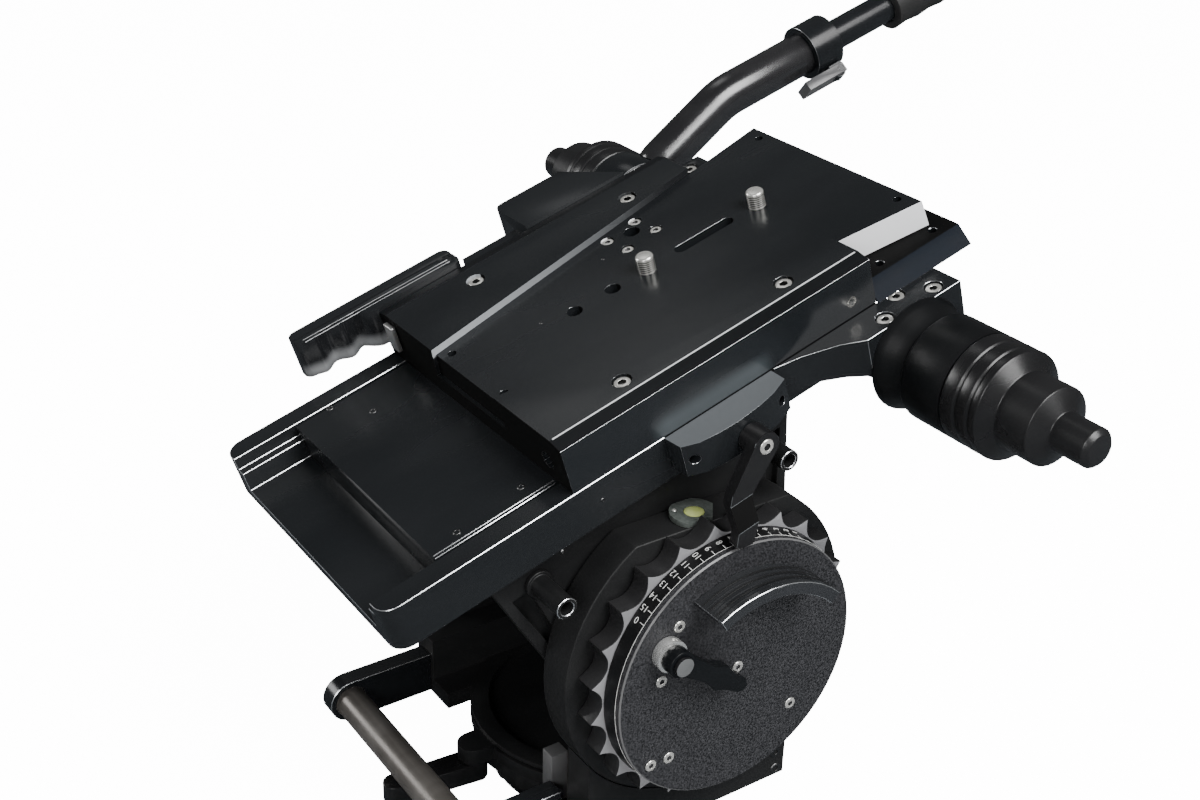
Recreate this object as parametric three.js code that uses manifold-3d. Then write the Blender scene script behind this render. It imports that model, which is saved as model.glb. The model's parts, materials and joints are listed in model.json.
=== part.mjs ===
// Fluid video head for a broadcast camera: a clamp base, a casting that pans on it, a cradle that
// tilts between two housings, a long tray, a sliding platform with a wedge plate, and a pan handle.
// Millimetres, +Z up. The origin is on the pan axis at the underside of the base. The camera looks
// along -Y, the operator stands at +Y, and the big dial faces +X.
import * as THREE from "three";
import { mergeVertices } from "three/addons/utils/BufferGeometryUtils.js";
import Module from "manifold-3d";

const wasm = await Module();
wasm.setup();

// Clearances.
const seatGap = 0.3; // between two pieces that rest on each other
const runGap = 0.15; // round a shaft in its bore
const overrun = 2; // how far a cutter passes the face that it opens
const weld = 0.0001; // corners closer than this are one corner

// Facets.
const roundCount = 64;
const midCount = 36;
const rodCount = 24;
const holeCount = 12;
const arcCount = 10;

// Angles in degrees.
const restTilt = 17.3; // how far the platform is nose-down against the base
const stopAngle = 40.8; // of the stop posts from the platform's upright
const dialLeverFall = -35.6; // of the wing lever from level
const bossAngle = 59; // of the bright boss, from the top of the dial towards the front
const gripStart = -31; // from the top of the dial towards the rear
const gripEnd = 45;
const dragTurn = 7.5; // of the scallops' first tip from the rear
const brakeTurn = 200; // of the tilt brake lever from the rear
const panLeverTurn = 6; // of the pan brake lever from straight ahead
const quarterTurn = 90;
const collarTurn = -45; // of the collar's lever, round the tube, from straight below
const pinScrewTurns = [61, 136, 242, 315]; // of the screws beside the pin hole

// Base and pan axis.
const flangeRadius = 58.5;
const flangeRim = 9;
const flangeStep = 3;
const shoulderRadius = 50;
const baseBoreRadius = 14;
const keyWidth = 9;
const keyDepth = 4;
const spindleRadius = 46;
const journalRadius = 28;
const journalReach = 5;
const panRingRadius = 67;
const panRingHeight = 14.8;
const panRingCount = 30;
const panRingBite = 1.6;
const panRingBiteShare = 0.7;

// Pan casting.
const drumRadius = 70.5;
const drumHeight = 12;
const grooveHeight = 2.4;
const grooveDepth = 4;
const wellRadius = 60;
const wellDepth = 5;
const wallFront = 70; // front and rear faces of the cheeks from the pan axis
const wallHeight = 36;
const wallThickness = 18;
const wallFoot = 35;
const footHeight = 10;
const cheekRear = 58;
const cheekThickness = 19.7;
const cheekInner = 80.3;
const cheekFoot = 30;
const riserFront = 45;
const riserThickness = 20;
const farRiserInner = 80.3;
const riserDrop = 6;

// Tilt axis and its housings.
const axisHeight = 135;
const housingRadius = 85;
const housingDepth = 19.7;
const housingFlatCut = 13.4; // off the housing's top, where the level sits
const housingFlat = housingRadius - housingFlatCut;
const spigotRadius = 64;
const spigotReach = 13.2;
const stubRadius = 22;
const stubReach = 17.5;
const stubFlangeRadius = 34;
const stubFlange = 1.7;
const farRadius = 80;
const coverRadius = 62;
const coverDepth = 5;
const coverStep = 2;
const coverStepRadius = 40;

// Spirit level.
const bezelRadius = 12.2;
const bezelHeight = 2.6;
const bezelCentreY = -6.6;
const bezelInset = 8.3; // of its centre from the housing's front
const bezelFlush = 0.4; // of its cut sides from the housing's ends
const bezelChord = 9; // of its straight edge from its centre
const bezelTurn = 53; // of its straight edge
const vialRadius = 5.1;
const vialHeight = 3.4;

// Drag ring, scale and counterbalance dial.
const dragTipRadius = 79.5;
const dragBite = 7.1;
const dragBiteShare = 0.94;
const dragCount = 24;
const dragDepth = 11.5;
const dragGap = 1.5;
const scaleRadius = 71.8; // at the drag ring; the band narrows towards the disc
const scaleEndRadius = 70.7;
const scaleBore = 11;
const scaleDepth = 8;
const discRadius = 70.6;
const discDepth = 3;
const discEdge = 0.7;
const discStemRadius = 10;
const discStemReach = 10;
const gripInner = 52.5;
const gripThickness = 5;
const gripReach = 22;
const gripFlare = 3;
const bossOffset = 52.5;
const bossRadius = 8.5;
const bossDepth = 5.6;
const bossStemRadius = 4;
const bossStemReach = 7.6;
const bossCapRadius = 5;
const bossCapDepth = 2.2;
const wingHubRadius = 7;
const wingDepth = 7;
const wingLength = 49;
const wingWidth = 11;

// Tilt brake on the far side.
const brakeHubRadius = 15;
const brakeDepth = 14;
const brakeLength = 62;
const brakeWidth = 13;
const brakeTip = 9;

// Pan brake in front.
const panBossReach = 79;
const panBossRadius = 8.5;
const panBossAngle = 1;
const panLeverLength = 46;
const panLeverWidth = 13;
const panLeverHeight = 12;
const panPinRadius = 3.5;
const panHubStart = 20; // angle where the lever's side leaves its hub

// Light block on the casting's floor.
const floorBlockX = 61;
const floorBlockWidth = 9;
const floorBlockDepth = 10;
const floorBlockHeight = 31;
const floorBlockFront = 70;

// Carry handle.
const carryHalf = 70;
const carryThickness = 11;
const carryHeight = 25;
const carryReach = 121;
const carryLevel = 41;
const carryTubeRadius = 9;
const carryTenon = 4;

// Cradle.
const cradleInner = 68;
const cradleThickness = 10;
const cradleTopHalf = 92;
const cradleTop = 95.2; // above the tilt axis
const cradleKneeHalf = 65;
const cradleKnee = -12;
const cradleRound = 66;
const cradleRib = 20;
const cradleRecess = 4;
const cradleRim = 5;
const bridgeHalf = 60;
const bridgeHeight = 13;
const drumPackRadius = 56;
const drumPackGroove = 3;
const drumPackBand = 9;
const postStand = 17.6; // of the posts' axes outside the housing
const postOffset = housingRadius + postStand;
const postRadius = 5.5;
const postBoreRadius = 3.6;
const postBoreDepth = 12;
const postLength = 26;
const postCollarRadius = 7;
const postCollar = 2.5;

// Tray. Its top is trayTop above the tilt axis.
const trayTop = 120;
const trayHalf = 88.3;
const trayFront = 143.5;
const trayRear = 145;
const trayHeight = 24.5;
const trayWallInner = 75.5;
const trayLedgeDepth = 7;
const trayLedgeInner = 70;
const trayFloorDepth = 18;
const trayCorner = 9;
const lugReach = 18.3;
const lugFront = 12; // front end of the lug behind the tilt axis
const lugLength = 65;
const lugHeight = 18;
const lugHoleRadius = 2.6;
const lugHoleDepth = 8;
const lugHoleInset = 5.5;
const lockY = 47;
const lockDrop = 12;
const lockShaftRadius = 5;
const lockShaftIn = 12;

// Slide lock lever.
const lockBossRadius = 7.5;
const lockBladeGap = 6.1; // from the lug's outer face to the blade
const lockBladeDepth = 6;
const lockCrank = 9; // how far out the blade's lower half stands
const lockLead = 33.3; // how far ahead of its boss the blade ends
const lockFall = 38.9; // how far below its boss the blade ends

// Rear arms and handle mounts.
const armLength = 106;
const armReach = 19.7;
const armDrop = 43;
const armScrewRadius = 5;
const armScrewDepth = 5;
const mountY = 150;
const mountZ = 95;
const neckRadius = 30;
const neckWaist = 23;
const neckLength = 17;
const ringRadius = 28;
const ringDepth = 26;
const ringGroove = 1;
const mountStemRadius = 9;
const mountStemReach = 24;
const knobDrumDepth = 28;
const knobGroove = 1.2;
const knobWaist = 20;
const knobWaistDepth = 24;
const knobTipRadius = 10;
const knobTipDepth = 21;
const knobTaper = 5;

// Pan handle, in a plane beside the far mount.
const tubeRadius = 13;
const handleRun = 26; // along Y from the mount to the first bend
const handleRise = 15.5;
const handleSecondRun = 52;
const handleSecondRise = 17.5;
const handleEnd = 141; // end of the outer tube, along Y from the mount
const bendRadius = 26;
const collarRadius = 17;
const collarLength = 20;
const collarEarWidth = 7;
const collarEarLength = 9;
const collarPinRadius = 2;
const collarLeverWidth = 14;
const collarLeverLength = 30;
const collarLeverDepth = 6;
const collarLeverLift = 1.5; // between the collar and its lever, so that the heel clears
const innerRadius = 9.5;
const innerBoreGap = 0.5;
const innerLength = 250;
const innerInside = 60;
const gripRadius = 15;
const gripLength = 120;
const gripBeads = 6;
const gripBead = 0.9;
const capDepth = 8;

// Sliding plate in the channel, and the block on it.
const plateHalf = 73;
const plateLip = 6.7;
const plateLower = 69.7;
const plateFront = 213; // ahead of the platform's zero, as all the lengths below
const plateRear = 30;
const blockHalf = trayHalf;
const blockShoulder = 8.3; // each side slopes in by this much
const blockTopHalf = blockHalf - blockShoulder;
const blockFront = 145;
const blockRear = 40.5;
const blockTop = 27.7;
const blockBevel = 2;
const wedgeFloor = 10;
const wedgeFrontHalf = 31;
const wedgeTaper = 0.156; // half-width gained per length
const wedgeUndercut = 3;
const wedgeTop = 23.4;
const wedgeFront = 143;
const wedgeRear = 94;
const capScrewRadius = 5.2;
const capScrewDepth = 6;
const insertX = 71.6;
const insertZ = 11.9;
const insertRadius = 4.8;
const insertDepth = 8;
const axisOffsetY = 105; // platform zero behind the tilt axis
const rearBaseOverhang = 1.7; // beyond the block, each side
const rearBaseFootHalf = blockHalf + rearBaseOverhang;
const rearBaseSlope = 8;
const rearBaseTopHalf = rearBaseFootHalf - rearBaseSlope;
const rearBaseHeight = 9.7;
const rearBaseEnd = 104;
const rearHoleX = 75.7;
const rearHoleRadius = 2.4;
const rearHoleFront = 56;
const rearHoleRear = 92;

// Wedge plate's holes.
const slotX = -3;
const slotFront = -8;
const slotRear = 23;
const slotWidth = 7;
const pinHoleX = -39;
const pinHoleY = -14;
const pinHoleRadius = 4.6;
const pinScrewRing = 13.1;
const pinScrewMiddleX = -36.6;
const pinScrewMiddleY = -15.9;
const pinScrewRadius = 3.7;
const pinScrewDepth = 3;
const lineHoleRadius = 4.4;
const lineHoleFront = -76;
const lineHoleRear = -52;
const cornerHoleRadius = 2.4;
const cornerInset = 6;
const screwRadius = 4.76;
const screwRise = 9;
const screwBelow = 9;
const screwClear = 0.35;
const screwX = -2;
const screwRearY = 42.5;
const screwFrontY = -30.5;
const screwChamfer = 0.8;

// Clamp lever and its housing.
const leverOuter = 109;
const leverInner = 89.2;
const leverTip = 191;
const leverEnd = 91;
const leverBottom = 6;
const leverTop = 28.5;
const leverPivotX = 98;
const leverPivotY = 97;
const leverCorner = 5;
const leverWaveStart = 148;
const leverWave = 2.2;
const leverWaveIn = 7;
const leverPinRadius = 4;
const leverGrooveWidth = 1.2;
const leverGrooveDepth = 0.8;
const leverGrooveInset = 8;
const houseOuter = 123;
const houseFront = 50;
const houseRear = 17;
const houseSlant = 22;
const houseCorner = 5;
const tongueOuter = 106;
const tongueFront = 110;
const tongueTop = 5.7;
const stripOuter = 104;
const stripTop = 20;
const stripFront = 85;
const bracketLength = 9;
const bracketWidth = 9;
const bracketBottom = 9;
const bracketTop = 24;

const radians = THREE.MathUtils.degToRad;

/** Points of an arc of radius r about (cx, cy), from angle a to angle b in degrees. */
function arc(cx, cy, r, a, b, count = arcCount) {
  const points = [];
  for (let i = 0; i <= count; i += 1) {
    const t = radians(a + ((b - a) * i) / count);
    points.push([cx + r * Math.cos(t), cy + r * Math.sin(t)]);
  }
  return points;
}

/** A straight solid of an [x, y] outline, from z = low to z = high. */
function slab(points, low, high) {
  const shape = new THREE.Shape(points.map(([x, y]) => new THREE.Vector2(x, y)));
  const geometry = new THREE.ExtrudeGeometry(shape, { depth: high - low, bevelEnabled: false });
  return geometry.translate(0, 0, low);
}

/** A solid of a [y, z] outline, from x = low to x = high. */
function sidePlate(points, low, high) {
  const turn = new THREE.Matrix4().makeBasis(
    new THREE.Vector3(0, 1, 0),
    new THREE.Vector3(0, 0, 1),
    new THREE.Vector3(1, 0, 0),
  );
  return slab(points, low, high).applyMatrix4(turn);
}

/** A solid of an [x, z] outline, from y = low to y = high. */
function frontPlate(points, low, high) {
  return slab(points, -high, -low).rotateX(Math.PI / 2);
}

/** A box between two corners. */
function block(x0, x1, y0, y1, z0, z1) {
  const geometry = new THREE.BoxGeometry(x1 - x0, y1 - y0, z1 - z0);
  return geometry.translate((x0 + x1) / 2, (y0 + y1) / 2, (z0 + z1) / 2);
}

/** A turned solid: profile points are [radius, place along the axis]; axis is "x", "y" or "z". */
function turned(profile, axis = "z", segments = roundCount) {
  const points = profile.map(([r, at]) => new THREE.Vector2(r, at));
  const last = points[points.length - 1];
  if (!(points[0].x === 0 && last.x === 0)) points.push(points[0].clone());
  const geometry = new THREE.LatheGeometry(points, segments);
  if (axis === "x") geometry.rotateZ(-Math.PI / 2);
  if (axis === "z") geometry.rotateX(Math.PI / 2);
  return geometry;
}

/** A round bar from low to high along an axis, centred on the two other coordinates. */
function bar(radius, low, high, axis, u, v, segments = rodCount) {
  const geometry = new THREE.CylinderGeometry(radius, radius, high - low, segments);
  geometry.translate(0, (low + high) / 2, 0);
  if (axis === "x") return geometry.rotateZ(-Math.PI / 2).translate(0, u, v);
  if (axis === "z") return geometry.rotateX(Math.PI / 2).translate(u, v, 0);
  return geometry.translate(u, 0, v);
}

/** The closed solid of a geometry, for the boolean operations. */
function solid(geometry) {
  const plain = geometry.clone();
  plain.deleteAttribute("normal");
  plain.deleteAttribute("uv");
  const merged = mergeVertices(plain, weld);
  const made = new wasm.Manifold(
    new wasm.Mesh({
      numProp: 3,
      vertProperties: new Float32Array(merged.attributes.position.array),
      triVerts: new Uint32Array(merged.index.array),
    }),
  );
  if (made.volume() < 0) throw new Error("a profile is inside out");
  return made;
}

/** The geometry of a closed solid. */
function surface(made) {
  const mesh = made.getMesh();
  const positions = new Float32Array(mesh.numVert * 3);
  for (let i = 0; i < mesh.numVert; i += 1) {
    positions.set(mesh.vertProperties.subarray(i * mesh.numProp, i * mesh.numProp + 3), i * 3);
  }
  const geometry = new THREE.BufferGeometry();
  geometry.setAttribute("position", new THREE.BufferAttribute(positions, 3));
  geometry.setIndex(new THREE.BufferAttribute(new Uint32Array(mesh.triVerts), 1));
  geometry.computeVertexNormals();
  return geometry;
}

/** One solid of several geometries. */
function fuse(...geometries) {
  return surface(geometries.map(solid).reduce((sum, next) => sum.add(next)));
}

/** A geometry with others cut out of it. */
function carve(geometry, ...cutters) {
  return surface(cutters.map(solid).reduce((rest, cutter) => rest.subtract(cutter), solid(geometry)));
}

/** A copy mirrored in the plane x = 0. */
function mirrored(geometry) {
  const copy = geometry.clone().scale(-1, 1, 1);
  const index = copy.index
    ? Array.from(copy.index.array)
    : [...Array(copy.attributes.position.count).keys()];
  for (let i = 0; i < index.length; i += 3) {
    [index[i + 1], index[i + 2]] = [index[i + 2], index[i + 1]];
  }
  copy.setIndex(index);
  return copy;
}

/** A solid between two outlines of as many points, at z = low and z = high. */
function loft(lower, upper, low, high) {
  const count = lower.length;
  const positions = [...lower.map(([x, y]) => [x, y, low]), ...upper.map(([x, y]) => [x, y, high])];
  const index = [];
  for (let i = 0; i < count; i += 1) {
    const next = (i + 1) % count;
    index.push(i, next, count + next, i, count + next, count + i);
    if (i > 0 && next > 0) {
      index.push(0, next, i);
      index.push(count, count + i, count + next);
    }
  }
  const geometry = new THREE.BufferGeometry();
  geometry.setAttribute("position", new THREE.Float32BufferAttribute(positions.flat(), 3));
  geometry.setIndex(index);
  return geometry;
}

/** An outline of a rectangle with its corners rounded, one radius for each corner. */
function rounded(x0, x1, y0, y1, radii) {
  const [a, b, c, d] = radii;
  const count = 6;
  return [
    ...arc(x0 + a, y0 + a, a, 180, 270, count),
    ...arc(x1 - b, y0 + b, b, 270, 360, count),
    ...arc(x1 - c, y1 - c, c, 0, 90, count),
    ...arc(x0 + d, y1 - d, d, 90, 180, count),
  ];
}

const finishes = {
  blackAnodised: { color: 0x101114, roughness: 0.38, metalness: 0.75 },
  blackCasting: { color: 0x17181a, roughness: 0.62, metalness: 0.35 },
  blackPlastic: { color: 0x121314, roughness: 0.5, metalness: 0.1 },
  greyPlastic: { color: 0x2a2c2f, roughness: 0.6, metalness: 0.1 },
  steel: { color: 0x9a9894, roughness: 0.3, metalness: 1 },
  chrome: { color: 0xd8d8d8, roughness: 0.08, metalness: 1 },
  lightMetal: { color: 0xb9bcc0, roughness: 0.35, metalness: 0.9 },
  rubber: { color: 0x1b1b1c, roughness: 0.85, metalness: 0 },
  level: { color: 0xb8d24a, roughness: 0.15, metalness: 0 },
};

/** Adds one named mesh of a geometry and a finish to a group. */
function add(group, name, geometry, finish) {
  const mesh = new THREE.Mesh(geometry, new THREE.MeshStandardMaterial(finishes[finish]));
  mesh.name = name;
  group.add(mesh);
  return mesh;
}

const head = new THREE.Group();
head.name = "fluid_video_head";

// Base flange: a stepped disc with a bore and two keyways under it.
const flangeTop = flangeRim + flangeStep;
const flangeProfile = [
  [baseBoreRadius, 0],
  [flangeRadius - seatGap, 0],
  [flangeRadius, seatGap],
  [flangeRadius, flangeRim],
  [shoulderRadius, flangeRim],
  [shoulderRadius, flangeTop],
  [baseBoreRadius, flangeTop],
];
const keyways = [-1, 1].map((side) =>
  block(
    side > 0 ? shoulderRadius : -flangeRadius - overrun,
    side > 0 ? flangeRadius + overrun : -shoulderRadius,
    -keyWidth / 2,
    keyWidth / 2,
    -overrun,
    keyDepth,
  ),
);
add(head, "base_flange", carve(turned(flangeProfile), ...keyways), "blackAnodised");

// Spindle: a column on the flange with a journal for the casting.
const spindleBottom = flangeTop + seatGap;
const panRingBottom = spindleBottom;
const drumBottom = panRingBottom + panRingHeight + seatGap;
const spindleTop = drumBottom - seatGap;
add(
  head,
  "pan_spindle",
  turned([
    [0, spindleBottom],
    [spindleRadius, spindleBottom],
    [spindleRadius, spindleTop],
    [journalRadius, spindleTop],
    [journalRadius, drumBottom + journalReach],
    [0, drumBottom + journalReach],
  ]),
  "steel",
);

/** A ring outline whose edge has evenly spaced concave bites, as [x, y] points. */
function scalloped(radius, bite, count, steps, biteShare) {
  const pitch = (2 * Math.PI * radius) / count;
  const halfChord = (pitch * biteShare) / 2;
  const biteRadius = (halfChord ** 2 + bite ** 2) / (2 * bite);
  const points = [];
  for (let i = 0; i < count * steps; i += 1) {
    const across = ((i % steps) / steps - 0.5) * pitch;
    const inBite = Math.abs(across) < halfChord;
    const depth = inBite ? Math.sqrt(biteRadius ** 2 - across ** 2) - biteRadius + bite : 0;
    const angle = (2 * Math.PI * i) / (count * steps);
    points.push([(radius - depth) * Math.cos(angle), (radius - depth) * Math.sin(angle)]);
  }
  return points;
}

const panRingOutline = scalloped(panRingRadius, panRingBite, panRingCount, 4, panRingBiteShare);
add(
  head,
  "pan_drag_ring",
  carve(
    slab(panRingOutline, panRingBottom, panRingBottom + panRingHeight),
    bar(spindleRadius + runGap, 0, axisHeight, "z", 0, 0, roundCount),
  ),
  "blackPlastic",
);

// Pan casting: a drum with a well, a wall and a riser on the far side, a cheek on the dial side.
const drumTop = drumBottom + drumHeight;
const wallTop = drumBottom + wallHeight;
const cheekOuter = cheekInner + cheekThickness;
const grooveTop = drumTop - grooveHeight;
const grooveLow = grooveTop - grooveHeight;
const drumProfile = [
  [0, drumBottom],
  [drumRadius, drumBottom],
  [drumRadius, grooveLow],
  [drumRadius - grooveDepth, grooveLow],
  [drumRadius - grooveDepth, grooveTop],
  [drumRadius, grooveTop],
  [drumRadius, drumTop],
  [wellRadius, drumTop],
  [wellRadius, drumTop - wellDepth],
  [0, drumTop - wellDepth],
];
const wallOuter = farRiserInner - seatGap;
const footTop = drumBottom + footHeight;
const cheekOutline = [
  [-wallFront, drumBottom],
  [cheekRear, drumBottom],
  [cheekRear, axisHeight - Math.sqrt(housingRadius ** 2 - cheekRear ** 2)],
  [-wallFront, axisHeight - Math.sqrt(housingRadius ** 2 - wallFront ** 2)],
];
const riserOutline = [
  [-riserFront, drumBottom + riserDrop],
  [riserFront, drumBottom + riserDrop],
  [riserFront, axisHeight - Math.sqrt(farRadius ** 2 - riserFront ** 2)],
  [-riserFront, axisHeight - Math.sqrt(farRadius ** 2 - riserFront ** 2)],
];
const lugRadians = radians(panBossAngle);
const panBossX = -panBossReach * Math.sin(lugRadians);
const panBossY = -panBossReach * Math.cos(lugRadians);
const casting = fuse(
  turned(drumProfile),
  block(-wallOuter, -wallOuter + wallFoot, -wallFront, wallFront, drumBottom, footTop),
  block(-wallOuter, -wallOuter + wallThickness, -wallFront, wallFront, drumBottom, wallTop),
  sidePlate(riserOutline, -farRiserInner - riserThickness + seatGap, -wallOuter + overrun),
  block(cheekInner - cheekFoot, cheekInner + overrun, -wallFront, cheekRear, drumBottom, footTop),
  sidePlate(cheekOutline, cheekInner, cheekOuter),
  bar(panBossRadius, drumBottom, footTop, "z", panBossX, panBossY),
  slab(
    [
      [panBossX - panBossRadius, panBossY],
      [panBossX + panBossRadius, panBossY],
      [panBossX + panBossRadius, -wellRadius / 2],
      [panBossX - panBossRadius, -wellRadius / 2],
    ],
    drumBottom,
    footTop,
  ),
);
add(
  head,
  "pan_body",
  carve(
    casting,
    bar(journalRadius + runGap, 0, drumBottom + journalReach + seatGap, "z", 0, 0, roundCount),
    bar(wellRadius, drumTop - wellDepth, axisHeight, "z", 0, 0, roundCount),
    bar(housingRadius + seatGap, cheekInner - seatGap, cheekOuter + overrun, "x", 0, axisHeight, roundCount),
    bar(farRadius + seatGap, -cheekOuter - overrun, -wallOuter + seatGap, "x", 0, axisHeight, roundCount),
  ),
  "blackCasting",
);

// Dial housing with its spigot, flat and bearing bore.
const housingFront = cheekInner + housingDepth;
const spigotEnd = housingFront + spigotReach;
const stubEnd = cheekInner + stubReach;
add(
  head,
  "dial_housing",
  carve(
    turned(
      [
        [0, cheekInner],
        [housingRadius, cheekInner],
        [housingRadius, housingFront],
        [spigotRadius, housingFront],
        [spigotRadius, spigotEnd],
        [0, spigotEnd],
      ],
      "x",
    ).translate(0, 0, axisHeight),
    block(
      cheekInner - overrun,
      housingFront + overrun,
      -housingRadius,
      housingRadius,
      axisHeight + housingFlat,
      axisHeight + housingRadius + overrun,
    ),
    bar(stubRadius + runGap, cheekInner - overrun, stubEnd + seatGap, "x", 0, axisHeight, roundCount),
    bar(discStemRadius + runGap, spigotEnd - discStemReach, spigotEnd + overrun, "x", 0, axisHeight),
  ),
  "blackCasting",
);

// Far housing and its cover.
add(
  head,
  "far_housing",
  turned(
    [
      [stubRadius + runGap, -cheekInner - housingDepth],
      [farRadius - coverStep, -cheekInner - housingDepth],
      [farRadius, -cheekInner - housingDepth + coverStep],
      [farRadius, -cheekInner],
      [stubRadius + runGap, -cheekInner],
    ],
    "x",
  ).translate(0, 0, axisHeight),
  "blackCasting",
);
const coverInner = cheekInner + housingDepth + seatGap;
const coverOuter = coverInner + coverDepth;
add(
  head,
  "far_cover",
  turned(
    [
      [0, -coverOuter - coverStep],
      [coverStepRadius, -coverOuter - coverStep],
      [coverStepRadius, -coverOuter],
      [coverRadius - coverStep, -coverOuter],
      [coverRadius, -coverOuter + coverStep],
      [coverRadius, -coverInner],
      [0, -coverInner],
    ],
    "x",
  ).translate(0, 0, axisHeight),
  "blackAnodised",
);

// Spirit level on the housing's flat: a round bezel with a straight edge, trimmed to the housing's ends.
const bezelX = housingFront - bezelInset;
const bezelBase = axisHeight + housingFlat + seatGap;
const bezelTop = bezelBase + bezelHeight;
const bezelDisc = turned(
  [
    [vialRadius + seatGap, bezelBase],
    [bezelRadius, bezelBase],
    [bezelRadius, bezelTop],
    [vialRadius + seatGap, bezelTop],
  ],
  "z",
);
const bezelEdge = block(
  bezelChord,
  bezelRadius + overrun,
  -bezelRadius,
  bezelRadius,
  bezelBase - overrun,
  bezelTop + overrun,
).rotateZ(radians(bezelTurn));
const bezelEnds = [
  [bezelInset - bezelFlush, bezelRadius + overrun],
  [-bezelRadius - overrun, bezelInset + bezelFlush - housingDepth],
].map(([low, high]) =>
  block(low, high, -bezelRadius, bezelRadius, bezelBase - overrun, bezelTop + overrun),
);
add(
  head,
  "bubble_bezel",
  carve(bezelDisc, bezelEdge, ...bezelEnds).translate(bezelX, bezelCentreY, 0),
  "lightMetal",
);
add(
  head,
  "bubble_vial",
  turned(
    [
      [0, bezelBase],
      [vialRadius, bezelBase],
      [vialRadius, bezelTop],
      [vialRadius / 2, bezelBase + vialHeight],
      [0, bezelBase + vialHeight],
    ],
    "z",
    rodCount,
  ).translate(bezelX, bezelCentreY, 0),
  "level",
);

// Tilt drag ring on the spigot.
const dragStart = housingFront + dragGap;
const dragEnd = dragStart + dragDepth;
const dragOutline = scalloped(dragTipRadius, dragBite, dragCount, 10, dragBiteShare);
add(
  head,
  "tilt_drag_ring",
  carve(
    sidePlate(dragOutline, dragStart, dragEnd).rotateX(radians(dragTurn)).translate(0, 0, axisHeight),
    bar(spigotRadius + runGap, housingFront, spigotEnd + overrun, "x", 0, axisHeight, roundCount),
  ),
  "blackPlastic",
);

// Scale ring, a band that carries the dial's numbers, and the disc in front of it with its stem.
const scaleStart = spigotEnd + seatGap;
const scaleEnd = scaleStart + scaleDepth;
add(
  head,
  "scale_ring",
  turned(
    [
      [scaleBore, scaleStart],
      [scaleRadius, scaleStart],
      [scaleEndRadius, scaleEnd],
      [scaleBore, scaleEnd],
    ],
    "x",
  ).translate(0, 0, axisHeight),
  "blackAnodised",
);
const discStart = scaleEnd + seatGap;
const discEnd = discStart + discDepth;
add(
  head,
  "dial_disc",
  turned(
    [
      [0, spigotEnd - discStemReach + seatGap],
      [discStemRadius, spigotEnd - discStemReach + seatGap],
      [discStemRadius, discStart],
      [discRadius, discStart],
      [discRadius, discEnd - discEdge],
      [discRadius - discEdge, discEnd],
      [0, discEnd],
    ],
    "x",
  ).translate(0, 0, axisHeight),
  "blackCasting",
);

// Arched grip on the disc, wider at its free edge.
const gripFoot = discEnd + seatGap;
const gripOuter = gripInner + gripThickness;
/** The grip's outline between two radii, as [y, z] points; angles from the top towards the rear. */
function gripOutline(inner, outer) {
  return [
    ...arc(0, axisHeight, outer, quarterTurn - gripStart, quarterTurn - gripEnd),
    ...arc(0, axisHeight, inner, quarterTurn - gripEnd, quarterTurn - gripStart),
  ];
}
add(
  head,
  "dial_grip",
  fuse(
    sidePlate(gripOutline(gripInner, gripOuter).reverse(), gripFoot, gripFoot + gripReach),
    sidePlate(
      gripOutline(gripInner, gripOuter + gripFlare / 2).reverse(),
      gripFoot + gripReach - gripFlare,
      gripFoot + gripReach,
    ),
  ),
  "blackPlastic",
);

// Bright boss with a stem and cap, and the wing lever that turns on the stem.
const bossY = -bossOffset * Math.sin(radians(bossAngle));
const bossZ = axisHeight + bossOffset * Math.cos(radians(bossAngle));
const bossStart = discEnd + seatGap;
const bossEnd = bossStart + bossDepth;
const bossStemEnd = bossEnd + bossStemReach;
add(
  head,
  "dial_lock_boss",
  turned(
    [
      [0, bossStart],
      [bossRadius, bossStart],
      [bossRadius, bossEnd],
      [bossStemRadius, bossEnd],
      [bossStemRadius, bossStemEnd],
      [bossCapRadius, bossStemEnd],
      [bossCapRadius, bossStemEnd + bossCapDepth],
      [0, bossStemEnd + bossCapDepth],
    ],
    "x",
    rodCount,
  ).translate(0, bossY, bossZ),
  "chrome",
);
const wingShares = [
  [0, 0.5],
  [0.45, 0.42],
  [0.62, 0.62],
  [0.74, 0.42],
  [0.93, 0.36],
  [1, 0.12],
];
const wingOutline = [
  ...wingShares.map(([l, w]) => [wingLength * l, -wingWidth * w]),
  ...wingShares.map(([l, w]) => [wingLength * l, wingWidth * w]).reverse(),
];
const wingStart = bossEnd + seatGap;
add(
  head,
  "dial_lock_lever",
  carve(
    fuse(
      bar(wingHubRadius, wingStart, wingStart + wingDepth, "x", 0, 0),
      sidePlate(wingOutline, wingStart, wingStart + wingDepth),
    ),
    bar(bossStemRadius + runGap, bossStart, bossStemEnd, "x", 0, 0),
  )
    .rotateX(radians(dialLeverFall))
    .translate(0, bossY, bossZ),
  "blackPlastic",
);

// Tilt brake lever on the far cover.
const brakeStart = coverOuter + coverStep + seatGap;
const brakeOutline = [
  [0, -brakeWidth / 2],
  ...arc(brakeLength - brakeTip / 2, 0, brakeTip / 2, -90, 90, 8),
  [0, brakeWidth / 2],
];
add(
  head,
  "tilt_brake_lever",
  fuse(
    bar(brakeHubRadius, -brakeStart - brakeDepth, -brakeStart, "x", 0, 0),
    sidePlate(brakeOutline, -brakeStart - brakeDepth, -brakeStart - brakeDepth / 3),
  )
    .rotateX(radians(brakeTurn))
    .translate(0, 0, axisHeight),
  "blackPlastic",
);

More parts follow.
